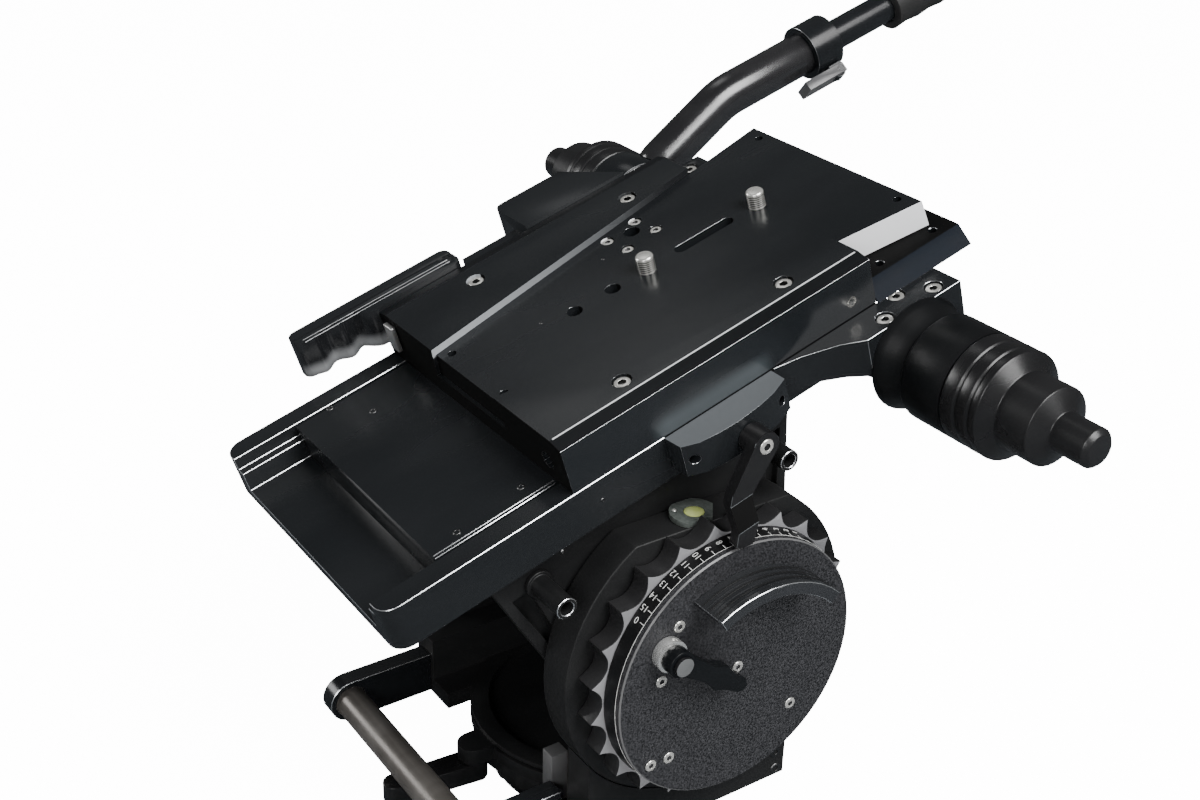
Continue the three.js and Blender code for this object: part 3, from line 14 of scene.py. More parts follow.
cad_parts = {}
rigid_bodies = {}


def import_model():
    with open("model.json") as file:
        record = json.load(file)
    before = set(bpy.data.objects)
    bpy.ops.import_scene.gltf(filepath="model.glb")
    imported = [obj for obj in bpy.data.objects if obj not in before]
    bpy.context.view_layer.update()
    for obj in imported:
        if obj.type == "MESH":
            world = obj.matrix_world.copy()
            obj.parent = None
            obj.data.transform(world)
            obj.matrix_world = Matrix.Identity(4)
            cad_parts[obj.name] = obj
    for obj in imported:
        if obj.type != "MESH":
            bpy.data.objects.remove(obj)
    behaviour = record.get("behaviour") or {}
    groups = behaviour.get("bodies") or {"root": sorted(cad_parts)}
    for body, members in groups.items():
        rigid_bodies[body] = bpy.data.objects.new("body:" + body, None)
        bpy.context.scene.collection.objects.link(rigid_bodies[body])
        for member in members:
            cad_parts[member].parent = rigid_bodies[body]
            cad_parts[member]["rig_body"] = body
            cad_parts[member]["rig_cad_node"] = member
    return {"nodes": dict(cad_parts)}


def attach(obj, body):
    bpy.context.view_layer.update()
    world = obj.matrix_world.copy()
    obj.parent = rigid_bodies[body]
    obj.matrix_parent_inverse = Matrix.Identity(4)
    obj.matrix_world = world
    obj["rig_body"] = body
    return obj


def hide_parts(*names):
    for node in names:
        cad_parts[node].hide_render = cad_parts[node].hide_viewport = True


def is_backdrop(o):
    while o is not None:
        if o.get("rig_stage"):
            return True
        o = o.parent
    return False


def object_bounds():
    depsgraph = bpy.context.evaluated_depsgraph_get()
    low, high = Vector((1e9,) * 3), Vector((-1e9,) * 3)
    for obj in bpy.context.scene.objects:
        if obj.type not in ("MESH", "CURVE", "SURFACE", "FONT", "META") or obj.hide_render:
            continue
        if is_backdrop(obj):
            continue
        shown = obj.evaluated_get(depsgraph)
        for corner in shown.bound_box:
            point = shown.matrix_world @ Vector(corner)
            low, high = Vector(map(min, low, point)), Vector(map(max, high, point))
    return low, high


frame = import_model()

MM = 0.001
LOG = logging.getLogger("fluid_head")
Pair = tuple[float, float]
Triple = tuple[float, float, float]
Piece = bpy.types.Object
Tree = bpy.types.NodeTree
Node = bpy.types.Node
Inputs = dict[str | int, object]

TILT = math.radians(17.3)
AXLE_HEIGHT = 135.0
PLATFORM_PLACE = (0, 105, 120)
AXLE = Matrix.Translation((0, 0, AXLE_HEIGHT))
CRADLE = AXLE @ Matrix.Rotation(TILT, 4, "X")
PLATFORM = CRADLE @ Matrix.Translation(PLATFORM_PLACE)
FACING_RIGHT = Matrix(((0, 0, 1, 0), (1, 0, 0, 0), (0, 1, 0, 0), (0, 0, 0, 1)))
# From this share of a normal along an axis, a face counts as turned that way.
FACE_ON = 0.9
FRONT_ON = -0.85


def at(base: Matrix, x: float, y: float, z: float) -> Matrix:
    """A place in one of the head's own frames."""
    return base @ Matrix.Translation((x, y, z))


def facing_right(base: Matrix, x: float, spots: Iterable[Pair]) -> list[Matrix]:
    """Places on an upright plane at x that look to the right, from their y and z."""
    return [at(base, x, y, z) @ FACING_RIGHT for y, z in spots]


def facing_up(base: Matrix, z: float, spots: Iterable[Pair]) -> list[Matrix]:
    """Places on a level plane at z that look up, from their x and y."""
    return [at(base, x, y, z) for x, y in spots]


def within(value: float, limits: Pair) -> bool:
    """Tells whether a value lies between two limits."""
    return limits[0] < value < limits[1]


def feed(node: Node, inputs: Inputs) -> None:
    """Gives each input a value, or another node's output as that node and the output's name."""
    for name, source in inputs.items():
        if isinstance(source, tuple) and isinstance(source[0], Node):
            node.id_data.links.new(source[0].outputs[source[1]], node.inputs[name])
        else:
            node.inputs[name].default_value = source


def add_node(tree: Tree, kind: str, inputs: Inputs | None = None, **settings: object) -> Node:
    """Adds a shader node.

    Args:
        tree: the tree of a material or a group.
        kind: the node's type, without the words that every type starts with.
        inputs: what feeds its inputs.
        settings: its other settings.

    Returns:
        The node.
    """
    made = tree.nodes.new(f"ShaderNode{kind}")
    for name, value in settings.items():
        setattr(made, name, value)
    feed(made, inputs or {})
    return made


class Effects:
    """Node groups that several finishes share, each built once."""

    RELIEF_HEIGHT: ClassVar[float] = 0.0004
    GRAIN_DETAIL: ClassVar[float] = 3.0
    PATCH_DETAIL: ClassVar[float] = 4.0
    PATCH_CONTRAST: ClassVar[Pair] = (0.35, 0.65)
    DARK: ClassVar[tuple[float, ...]] = (0.01, 0.01, 0.01, 1)

    @staticmethod
    def _new(name: str, inputs: dict[str, object], outputs: dict[str, str]) -> tuple[Tree, Node, Node]:
        """Makes an empty shader group.

        Args:
            name: the group's name.
            inputs: the default of each input, a number or a colour.
            outputs: the type of each output.

        Returns:
            The group and its two end nodes.
        """
        tree = bpy.data.node_groups.new(name, "ShaderNodeTree")
        for label, value in inputs.items():
            kind = "NodeSocketColor" if isinstance(value, tuple) else "NodeSocketFloat"
            tree.interface.new_socket(label, in_out="INPUT", socket_type=kind).default_value = value
        for label, kind in outputs.items():
            tree.interface.new_socket(label, in_out="OUTPUT", socket_type=f"NodeSocket{kind}")
        return tree, tree.nodes.new("NodeGroupInput"), tree.nodes.new("NodeGroupOutput")

    @staticmethod
    @cache
    def grain() -> Tree:
        """Fine relief of a blasted, cast or moulded skin.

        Returns:
            The group, which puts out a normal.
        """
        inputs = {"Cells": 1000.0, "Depth": 0.1, "Coarseness": 0.5}
        tree, start, end = Effects._new("Grain", inputs, {"Normal": "Vector"})
        place = add_node(tree, "TexCoord")
        cells = {
            "Vector": (place, "Object"),
            "Scale": (start, "Cells"),
            "Roughness": (start, "Coarseness"),
            "Detail": Effects.GRAIN_DETAIL,
        }
        noise = add_node(tree, "TexNoise", cells)
        relief = {"Height": (noise, "Fac"), "Strength": (start, "Depth"), "Distance": Effects.RELIEF_HEIGHT}
        feed(end, {"Normal": (add_node(tree, "Bump", relief), "Normal")})
        return tree

    @staticmethod
    @cache
    def handling() -> Tree:
        """Slow change of colour and gloss over a handled surface, with faint wipe marks.

        Returns:
            The group, which puts out a colour and a roughness.
        """
        inputs = {
            "Colour": Effects.DARK,
            "Faded": Effects.DARK,
            "Smoothest": 0.25,
            "Roughest": 0.4,
            "Patches": 30.0,
            "Wipe": 0.25,
        }
        tree, start, end = Effects._new("Handling", inputs, {"Colour": "Color", "Roughness": "Float"})
        place = add_node(tree, "TexCoord")
        across = add_node(tree, "CombineXYZ", {"X": 1.0, "Y": (start, "Wipe"), "Z": 1.0})
        stretch = add_node(tree, "Mapping", {"Vector": (place, "Object"), "Scale": (across, "Vector")})
        spots = {"Vector": (stretch, "Vector"), "Scale": (start, "Patches"), "Detail": Effects.PATCH_DETAIL}
        patches = add_node(tree, "TexNoise", spots)
        least, most = Effects.PATCH_CONTRAST
        spread = add_node(tree, "MapRange", {"Value": (patches, "Fac"), "From Min": least, "From Max": most})
        share = (spread, "Result")
        ends = {"To Min": (start, "Smoothest"), "To Max": (start, "Roughest")}
        gloss = add_node(tree, "MapRange", {"Value": share, **ends})
        tones = {"Factor": share, "A": (start, "Colour"), "B": (start, "Faded")}
        tone = add_node(tree, "Mix", tones, data_type="RGBA")
        feed(end, {"Colour": (tone, "Result"), "Roughness": (gloss, "Result")})
        return tree

    @staticmethod
    @cache
    def band() -> Tree:
        """A soft-edged band of a second colour on the sliding platform, for painted highlights and painted
        reflections.

        It lies between two stations along the platform and two heights on it.

        Returns:
            The group, which puts out a colour.
        """
        limits = ("Start", "End", "Low", "High")
        colours = {"Colour": Effects.DARK, "Band Colour": Effects.DARK}
        sizes = {**dict.fromkeys(limits, 0.0), "Softness": 0.01, "Fading": 0.004}
        tree, start, end = Effects._new("Band", {**colours, **sizes}, {"Colour": "Color"})
        origin = PLATFORM.translation * MM
        place = add_node(tree, "TexCoord")
        turn = {"Vector": (place, "Object"), "Center": origin, "Angle": -TILT}
        level = add_node(tree, "VectorRotate", turn, rotation_type="X_AXIS")
        local = add_node(tree, "VectorMath", {0: (level, "Vector"), 1: origin}, operation="SUBTRACT")
        axes = add_node(tree, "SeparateXYZ", {"Vector": (local, "Vector")})
        mask: tuple[Node, str] | None = None
        for axis, names, soft in (("Y", limits[:2], "Softness"), ("Z", limits[2:], "Fading")):
            for name, operation in zip(names, ("ADD", "SUBTRACT")):
                reach = add_node(tree, "Math", {0: (start, name), 1: (start, soft)}, operation=operation)
                slope = {"Value": (axes, axis), "From Min": (start, name), "From Max": (reach, "Value")}
                step = (add_node(tree, "MapRange", slope, interpolation_type="SMOOTHSTEP"), "Result")
                both = mask and add_node(tree, "Math", {0: mask, 1: step}, operation="MULTIPLY")
                mask = (both, "Value") if both else step
        tones = {"Factor": mask, "A": (start, "Colour"), "B": (start, "Band Colour")}
        tone = add_node(tree, "Mix", tones, data_type="RGBA")
        feed(end, {"Colour": (tone, "Result")})
        return tree


@dataclass(frozen=True)
class Finish:
    """One surface finish: its colours, gloss and relief, and the name of the slot that it belongs to."""

    slot: str
    colour: Triple
    faded: Triple
    smoothest: float
    roughest: float
    metallic: float = 0.0
    specular: float = 0.5
    coat: float = 0.0
    coat_roughness: float = 0.1
    transmission: float = 0.0
    cells: float = 1500.0
    depth: float = 0.1
    coarseness: float = 0.5
    patches: float = 25.0
    wipe: float = 0.25
    # Colour of a band of painted light, with the stations, heights and soft edges that bound it.
    band: Triple | None = None
    stations: Pair = (0.0, 0.0)
    heights: Pair = (-1000.0, 1000.0)
    softness: float = 20.0
    fading: float = 5.0

    def material(self, title: str) -> bpy.types.Material:
        """Builds the finish's material.

        Args:
            title: the material's name.

        Returns:
            The material.
        """
        made = bpy.data.materials.new(title)
        made.use_nodes = True
        tree = made.node_tree
        wear = {
            "Colour": (*self.colour, 1),
            "Faded": (*self.faded, 1),
            "Smoothest": self.smoothest,
            "Roughest": self.roughest,
            "Patches": self.patches,
            "Wipe": self.wipe,
        }
        skin = toned = add_node(tree, "Group", wear, node_tree=Effects.handling())
        grain = {"Cells": self.cells, "Depth": self.depth, "Coarseness": self.coarseness}
        relief = add_node(tree, "Group", grain, node_tree=Effects.grain())
        # Where the finish has a light band, a band of painted light is mixed over the skin's colour.
        if self.band:
            sizes = (*self.stations, *self.heights, self.softness, self.fading)
            names = ("Start", "End", "Low", "High", "Softness", "Fading")
            band = {name: size * MM for name, size in zip(names, sizes)}
            band |= {"Colour": (skin, "Colour"), "Band Colour": (*self.band, 1)}
            toned = add_node(tree, "Group", band, node_tree=Effects.band())
        look = {
            "Base Color": (toned, "Colour"),
            "Roughness": (skin, "Roughness"),
            "Normal": (relief, "Normal"),
            "Metallic": self.metallic,
            "Specular IOR Level": self.specular,
            "Coat Weight": self.coat,
            "Coat Roughness": self.coat_roughness,
            "Transmission Weight": self.transmission,
        }
        feed(tree.nodes["Principled BSDF"], look)
        return made


class Look(Enum):
    """The finishes of the head."""

    ANODISED = Finish(
        "black_anodised", (0.0082, 0.0094, 0.0106), (0.0122, 0.0136, 0.015), 0.2, 0.3, specular=0.4,
        cells=2600, depth=0.04, patches=14
    )
    # Painted reflection: black anodised with a lighter band on the block's long sides where the lug's top is
    # mirrored.
    FLANK = Finish(
        "black_anodised", (0.009, 0.0106, 0.0122), (0.012, 0.0138, 0.0156), 0.16, 0.24, specular=0.42,
        cells=2600, depth=0.03, band=(0.042, 0.051, 0.056), stations=(-101, -23), heights=(-11, 14),
        softness=13, fading=9
    )
    # Painted highlight: black anodised with a bright band on the walls of the block's opening, brightest at
    # the front and fading to the rear.
    RAIL = Finish(
        "black_anodised", (0.012, 0.013, 0.0145), (0.017, 0.0182, 0.02), 0.22, 0.3, cells=2600, depth=0.03,
        band=(0.46, 0.48, 0.5), stations=(-400, 30), heights=(21.5, 1000), softness=180, fading=1.5
    )
    # Painted reflection: a dark bluish copy of black anodised with little specular, for the rear base's side
    # slopes.
    REAR = Finish(
        "black_anodised", (0.0022, 0.0044, 0.0088), (0.0046, 0.0078, 0.0132), 0.34, 0.42, specular=0.05,
        patches=120
    )
    # Painted shade: a darker, duller copy of black anodised for the block's long slopes, the rear base and
    # the wing lever.
    SLOPE = Finish(
        "black_anodised", (0.0045, 0.0052, 0.006), (0.007, 0.0078, 0.0088), 0.3, 0.36, specular=0.2,
        cells=2600, depth=0.03
    )
    # Painted sheen: a lighter copy of black anodised for the lugs' tops and the slide lock lever's bevels.
    SHEEN = Finish(
        "black_anodised", (0.094, 0.103, 0.11), (0.116, 0.126, 0.134), 0.26, 0.34, 0.2, cells=2600,
        depth=0.03
    )
    # Painted highlight: near white, for the wedge plate's long flanks.
    BARE = Finish(
        "light_metal", (0.9, 0.91, 0.93), (0.96, 0.96, 0.97), 0.3, 0.38, 0.2, cells=2000, depth=0.03
    )
    # Painted highlight: bright metal for the bevel strips along the edges of black parts.
    EDGE = Finish("black_anodised", (0.72, 0.74, 0.76), (0.86, 0.87, 0.88), 0.22, 0.3, 0.9, 0.6, depth=0.03)
    # Painted highlight: pale thin lines laid along the block's edge and the clamp lever's top.
    EDGE_LINE = Finish(
        "black_anodised", (0.62, 0.63, 0.64), (0.78, 0.79, 0.8), 0.4, 0.5, 0.0, 0.6, depth=0.03
    )
    NECK = Finish(
        "black_anodised", (0.004, 0.0043, 0.0048), (0.0062, 0.0066, 0.0072), 0.3, 0.42, specular=0.3,
        depth=0.12
    )
    CASTING = Finish(
        "black_casting", (0.008, 0.0082, 0.0086), (0.0125, 0.0127, 0.013), 0.42, 0.55, specular=0.3,
        depth=0.3
    )
    TEXTURED = Finish(
        "black_casting", (0.0045, 0.0046, 0.0054), (0.044, 0.0445, 0.049), 0.42, 0.56, specular=0.45,
        depth=0.9, coarseness=0.7, patches=1000, wipe=1.0
    )
    PLASTIC = Finish(
        "black_plastic", (0.0085, 0.0085, 0.009), (0.0125, 0.0125, 0.0132), 0.24, 0.34, specular=0.45,
        cells=2000
    )
    GRIP = Finish(
        "black_plastic", (0.019, 0.02, 0.022), (0.028, 0.03, 0.033), 0.18, 0.25, coat=0.4,
        coat_roughness=0.12, cells=2000, depth=0.04
    )
    # Painted highlight: black plastic with a pale band along the lower part of the clamp lever's front.
    WAVE = Finish(
        "black_plastic", (0.0085, 0.009, 0.01), (0.013, 0.0138, 0.015), 0.18, 0.25, coat=0.4,
        coat_roughness=0.12, cells=2000, depth=0.04, band=(0.22, 0.225, 0.23), stations=(-204, -112),
        heights=(3, 15), softness=22, fading=6
    )
    PIPE = Finish(
        "black_anodised", (0.012, 0.012, 0.013), (0.02, 0.02, 0.021), 0.19, 0.27, specular=1.0, cells=1600,
        depth=0.12, patches=40
    )
    RING = Finish(
        "black_plastic", (0.014, 0.014, 0.0146), (0.02, 0.02, 0.0208), 0.34, 0.44, specular=0.45, cells=2000,
        depth=0.15
    )
    # Painted highlight: a grey copy of black plastic for the drag ring's flat end faces.
    RING_FACE = Finish(
        "black_plastic", (0.235, 0.235, 0.245), (0.3, 0.3, 0.31), 0.4, 0.5, 0.2, cells=2200, depth=0.12
    )
    SCALE = Finish(
        "black_anodised", (0.005, 0.005, 0.0054), (0.008, 0.008, 0.0086), 0.32, 0.4, specular=0.35,
        cells=2400, depth=0.06
    )
    GREY = Finish("grey_plastic", (0.09, 0.09, 0.092), (0.13, 0.13, 0.132), 0.3, 0.4, cells=1800, depth=0.12)
    BEZEL = Finish(
        "light_metal", (0.085, 0.098, 0.09), (0.125, 0.14, 0.13), 0.34, 0.44, 0.2, cells=1400, depth=0.3,
        patches=500, wipe=1.0
    )
    TUBE = Finish(
        "steel", (0.1, 0.091, 0.082), (0.15, 0.14, 0.129), 0.32, 0.42, 0.45, cells=1800, depth=0.05,
        patches=50
    )
    STEEL = Finish(
        "steel", (0.52, 0.505, 0.485), (0.66, 0.645, 0.62), 0.3, 0.4, 1.0, cells=1800, depth=0.05,
        patches=60
    )
    SCREW = Finish("steel", (0.72, 0.71, 0.67), (0.84, 0.83, 0.79), 0.22, 0.3, 0.72, cells=1800, depth=0.04)
    # Dark steel of the black screws, and painted shade in the bottom of every screw's socket.
    DARK_SCREW = Finish("steel", (0.1, 0.1, 0.1), (0.16, 0.16, 0.16), 0.3, 0.4, 1.0, cells=1800, depth=0.04)
    CHROME = Finish("chrome", (0.9, 0.9, 0.88), (0.97, 0.97, 0.95), 0.12, 0.18, 0.82, depth=0.01)
    LIGHT = Finish("light_metal", (0.5, 0.5, 0.49), (0.62, 0.62, 0.61), 0.3, 0.4, 0.9, cells=2000, depth=0.08)
    RUBBER = Finish(
        "rubber", (0.014, 0.014, 0.014), (0.022, 0.022, 0.022), 0.5, 0.66, specular=0.35, cells=1400,
        depth=0.35
    )
    GLASS = Finish(
        "level_glass", (0.62, 0.7, 0.2), (0.74, 0.82, 0.34), 0.04, 0.07, transmission=0.35, coat=0.5,
        coat_roughness=0.03, cells=900, depth=0.0, patches=160, wipe=1.0
    )
    PAINT = Finish(
        "light_metal", (0.74, 0.74, 0.72), (0.84, 0.84, 0.82), 0.5, 0.6, specular=0.4, cells=2500,
        depth=0.05
    )
    # Painted shade: near-black and dull, for front faces, tops kept out of the light, slanted faces, shadow
    # lines and thread grooves.
    HOLLOW = Finish(
        "black_anodised", (0.0015, 0.0015, 0.0015), (0.0022, 0.0022, 0.0022), 0.7, 0.8, specular=0.1,
        depth=0.05
    )

    def material(self) -> bpy.types.Material:
        """The finish's material, built the first time it is asked for."""
        title = f"{self.name.lower()}_finish"
        return bpy.data.materials.get(title) or self.value.material(title)


class Edge(Enum):
    """How a piece's edges are broken: width in millimetres, segments, and whether their bevel strips get the
    painted highlight.
    """

    MACHINED = (0.34, 1, True)
    CRISP = (0.3, 1, True)
    TURNED = (0.3, 2, False)
    CAST = (0.8, 3, False)
    MOULDED = (0.5, 3, False)
    SHARP = (0.0, 1, False)


class Bench:
    """The modelling operators that every piece is made with."""

    MERGE_DISTANCE: ClassVar[float] = 0.00001
    FLAT_SEAM: ClassVar[float] = 0.5
    SMOOTH_ANGLE: ClassVar[float] = 32.0

    @staticmethod
    def only(*pieces: Piece) -> None:
        """Selects these pieces alone, the last one active."""
        bpy.ops.object.select_all(action="DESELECT")
        for piece in pieces:
            piece.select_set(True)
            bpy.context.view_layer.objects.active = piece

    @staticmethod
    def active(name: str) -> Piece:
        """Names the active piece and its mesh."""
        made = bpy.context.view_layer.objects.active
        made.name = made.data.name = name
        return made

    @staticmethod
    def apply(piece: Piece) -> Piece:
        """Moves the active piece's place, turn and size into its mesh."""
        bpy.ops.object.transform_apply(location=True, rotation=True, scale=True)
        return piece

    @staticmethod
    def modify(piece: Piece, kind: str, **values: object) -> None:
        """Adds a modifier with these values and applies it."""
        Bench.only(piece)
        bpy.ops.object.modifier_add(type=kind)
        modifier = piece.modifiers[-1]
        for name, value in values.items():
            setattr(modifier, name, value)
        bpy.ops.object.modifier_apply(modifier=modifier.name)

    @staticmethod
    def tidy(piece: Piece) -> None:
        """Merges doubles, dissolves flat seams and turns the faces outwards."""
        Bench.only(piece)
        bpy.ops.object.mode_set(mode="EDIT")
        bpy.ops.mesh.select_all(action="SELECT")
        bpy.ops.mesh.remove_doubles(threshold=Bench.MERGE_DISTANCE)
        bpy.ops.mesh.dissolve_limited(angle_limit=math.radians(Bench.FLAT_SEAM))
        bpy.ops.mesh.normals_make_consistent(inside=False)
        bpy.ops.object.mode_set(mode="OBJECT")

    @staticmethod
    def break_edges(
        piece: Piece, width: float, segments: int = 2, material: int = -1, angle: float = 34.0
    ) -> None:
        """Bevels the sharp edges.

        Args:
            piece: the piece.
            width: the bevel's width in millimetres.
            segments: how many strips it has.
            material: the slot of the new strips, or -1 for the neighbours' own.
            angle: the least angle of an edge that is beveled, in degrees.
        """
        Bench.modify(
            piece,
            "BEVEL",
            width=width * MM,
            segments=segments,
            limit_method="ANGLE",
            angle_limit=math.radians(angle),
            use_clamp_overlap=True,
            material=material,
            miter_outer="MITER_ARC" if segments > 1 else "MITER_SHARP",
        )

    @staticmethod
    def smooth(piece: Piece, angle: float = SMOOTH_ANGLE) -> None:
        """Shades smooth across edges flatter than this many degrees."""
        Bench.only(piece)
        bpy.ops.object.shade_smooth_by_angle(angle=math.radians(angle))

    @staticmethod
    def place(piece: Piece, where: Matrix) -> Piece:
        """Puts the piece where this matrix (millimetres) says, with its place in its mesh."""
        Bench.only(piece)
        metres = where.copy()
        metres.translation = where.translation * MM
        piece.matrix_world = metres @ piece.matrix_world
        return Bench.apply(piece)

    @staticmethod
    def copy(piece: Piece, name: str) -> Piece:
        """A copy with its own mesh."""
        Bench.only(piece)
        bpy.ops.object.duplicate(linked=False)
        return Bench.active(name)

    @staticmethod
    def repeat(name: str, first: Piece, places: Iterable[Matrix]) -> Piece:
        """Copies the first piece to each place, joins the copies and deletes the first.

        Args:
            name: the joined piece's name.
            first: the unplaced piece.
            places: where the copies go.

        Returns:
            The joined piece.
        """
        copies = [Bench.place(Bench.copy(first, f"{name}_{i}"), place) for i, place in enumerate(places)]
        Bench.discard(first)
        return Bench.join(name, copies)

    @staticmethod
    def join(name: str, pieces: Sequence[Piece]) -> Piece:
        """Joins the pieces into one of this name."""
        Bench.only(*pieces)
        bpy.ops.object.join()
        return Bench.active(name)

    @staticmethod
    def discard(*pieces: Piece) -> None:
        """Deletes helper pieces."""
        Bench.only(*pieces)
        bpy.ops.object.delete()

    @staticmethod
    def cut(piece: Piece, cutter: Piece) -> None:
        """Cuts the cutter out of the piece and deletes it."""
        Bench.modify(piece, "BOOLEAN", operation="DIFFERENCE", object=cutter, solver="EXACT")
        Bench.discard(cutter)

    @staticmethod
    def turned(name: str, stations: Sequence[Pair], sides: int) -> Piece:
        """A turned form about +Z, extruded from a disc station by station.

        Args:
            name: the piece's name.
            stations: radius and height of each step, in millimetres, from the bottom up.
            sides: the number of sides.

        Returns:
            The closed piece.
        """
        (radius, height), rest = stations[0], stations[1:]
        bpy.ops.object.select_all(action="DESELECT")
        bpy.ops.mesh.primitive_circle_add(
            vertices=sides, radius=radius * MM, fill_type="NGON", location=(0, 0, height * MM)
        )
        made = Bench.apply(Bench.active(name))
        bpy.ops.object.mode_set(mode="EDIT")
        bpy.ops.mesh.select_all(action="SELECT")
        for wide, high in rest:
            bpy.ops.mesh.extrude_region_move(
                TRANSFORM_OT_translate={"value": (0, 0, (high - height) * MM)}
            )
            share = wide / radius
            bpy.ops.transform.resize(value=(share, share, 1), center_override=(0, 0, high * MM))
            radius, height = wide, high
        bpy.ops.mesh.select_all(action="SELECT")
        bpy.ops.mesh.normals_make_consistent(inside=False)
        bpy.ops.object.mode_set(mode="OBJECT")
        return made

    @staticmethod
    def block(name: str, low: Triple, high: Triple, edge: float = 0.0) -> Piece:
        """A block between two corners, with its edges broken if a width is given."""
        bpy.ops.object.select_all(action="DESELECT")
        middle = [(a + b) / 2 * MM for a, b in zip(low, high)]
        bpy.ops.mesh.primitive_cube_add(size=1, location=middle)
        made = Bench.active(name)
        made.scale = [(b - a) * MM for a, b in zip(low, high)]
        Bench.apply(made)
        if edge:
            Bench.break_edges(made, edge)
        return made

    @staticmethod
    def hexagon(name: str, radius: float, low: float, high: float) -> Piece:
        """A hexagonal prism about +Z between two heights."""
        bpy.ops.object.select_all(action="DESELECT")
        bpy.ops.mesh.primitive_cylinder_add(
            vertices=6, radius=radius * MM, depth=(high - low) * MM, location=(0, 0, (low + high) / 2 * MM)
        )
        return Bench.apply(Bench.active(name))


@dataclass
class SubAssembly:
    """A group of pieces. What it makes is dressed and set to ride by the methods here."""

    def paint(self, piece: Piece, finish: Look, *others: Look) -> Piece:
        """Gives the piece its material slots."""
        piece.data.materials.clear()
        for each in (finish, *others):
            piece.data.materials.append(each.material())
        return piece

    def repaint(self, piece: Piece, finish: Look, test: Callable[[Vector, Vector], bool]) -> None:
        """Gives another finish to the faces that pass a test.

        Args:
            piece: the piece.
            finish: the faces' new finish.
            test: takes a face's centre in millimetres and its normal.
        """
        piece.data.materials.append(finish.material())
        last = len(piece.data.materials) - 1
        for face in piece.data.polygons:
            if test(face.center / MM, face.normal):
                face.material_index = last

    def corners_in(self, base: Matrix, piece: Piece) -> list[Vector]:
        """The piece's corners in one of the head's own frames."""
        return [base.inverted() @ (corner.co / MM) for corner in piece.data.vertices]

    def dress(self, node: str, finish: Look, edge: Edge, angle: float = Bench.SMOOTH_ANGLE) -> Piece:
        """Makes a node's looks: a merged copy with its edges broken, smoothed and painted.

        Args:
            node: the CAD node's name.
            finish: its finish.
            edge: how its edges are broken.
            angle: edges sharper than this many degrees are broken.

        Returns:
            The piece that stands for the node.
        """
        source = frame["nodes"][node]
        piece = Bench.copy(source, f"{node}_skin")
        bpy.ops.object.parent_clear(type="CLEAR")
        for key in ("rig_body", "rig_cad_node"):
            if key in piece:
                del piece[key]
        bpy.ops.mesh.customdata_custom_splitnormals_clear()
        Bench.tidy(piece)
        width, segments, highlighted = edge.value
        # Where the edge kind says so, the bevel strips get the painted highlight in a second slot.
        self.paint(piece, finish, *([Look.EDGE] if highlighted else []))
        for face in piece.data.polygons:
            face.material_index = 0
        if width:
            Bench.break_edges(piece, width, segments, 1 if highlighted else -1, angle)
        Bench.smooth(piece, angle)
        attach(piece, source["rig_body"])
        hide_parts(node)
        return self.report(piece)

    def fit(self, piece: Piece, body: str, finish: Look, where: Matrix | None = None) -> None:
        """Places, smooths and paints a new piece and sets it to ride on a body."""
        if where is not None:
            Bench.place(piece, where)
        Bench.smooth(piece)
        if not piece.data.materials:
            self.paint(piece, finish)
        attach(piece, body)
        self.report(piece)

    def report(self, piece: Piece) -> Piece:
        """Logs a finished piece."""
        LOG.info("%s: %s, %d faces", type(self).__name__, piece.name, len(piece.data.polygons))
        return piece


@dataclass
class CapScrew(SubAssembly):
    """A socket head cap screw, modelled once about +Z with its head's top at zero."""

    head_radius: float
    head_height: float
    socket: float
    sides: int = 28
    chamfer: float = 0.5
    socket_share: float = 0.62
    fine_edge: float = 0.14
    dark_below: float = 0.25

    def model(self, name: str) -> Piece:
        """The head with its chamfers and its hexagon socket.

        Returns:
            The screw, unplaced.
        """
        r, h = self.head_radius, self.head_height
        made = Bench.turned(name, [(r, -h), (r, -self.chamfer), (r - self.chamfer, 0)], self.sides)
        Bench.cut(made, Bench.hexagon("socket", self.socket, -h * self.socket_share, 1))
        Bench.tidy(made)
        Bench.break_edges(made, self.fine_edge, 1)
        return made

    def scatter(self, name: str, body: str, finish: Look, places: Iterable[Matrix]) -> None:
        """One joined piece of screws at these places.

        Args:
            name: the piece's name.
            body: the body that they ride on.
            finish: their finish.
            places: where each head's top is.
        """
        first = self.paint(self.model(name), finish, Look.DARK_SCREW)
        # The bottom of the socket gets painted shade.
        for face in first.data.polygons:
            centre = face.center / MM
            face.material_index = int(centre.xy.length < self.socket and centre.z < -self.dark_below)
        self.fit(Bench.repeat(name, first, places), body, finish)


@dataclass
class BaseAndPan(SubAssembly):
    """The round clamp flange, the bearing column, the pan drag ring and the pan brake lever."""

    def build(self) -> None:
        """Dresses the base and what turns about the vertical under the casting."""
        self.dress("base_flange", Look.ANODISED, Edge.CRISP)
        self.dress("pan_spindle", Look.STEEL, Edge.TURNED)
        self.dress("pan_drag_ring", Look.RING, Edge.MOULDED)
        self.dress("pan_brake_lever", Look.PLASTIC, Edge.MOULDED)


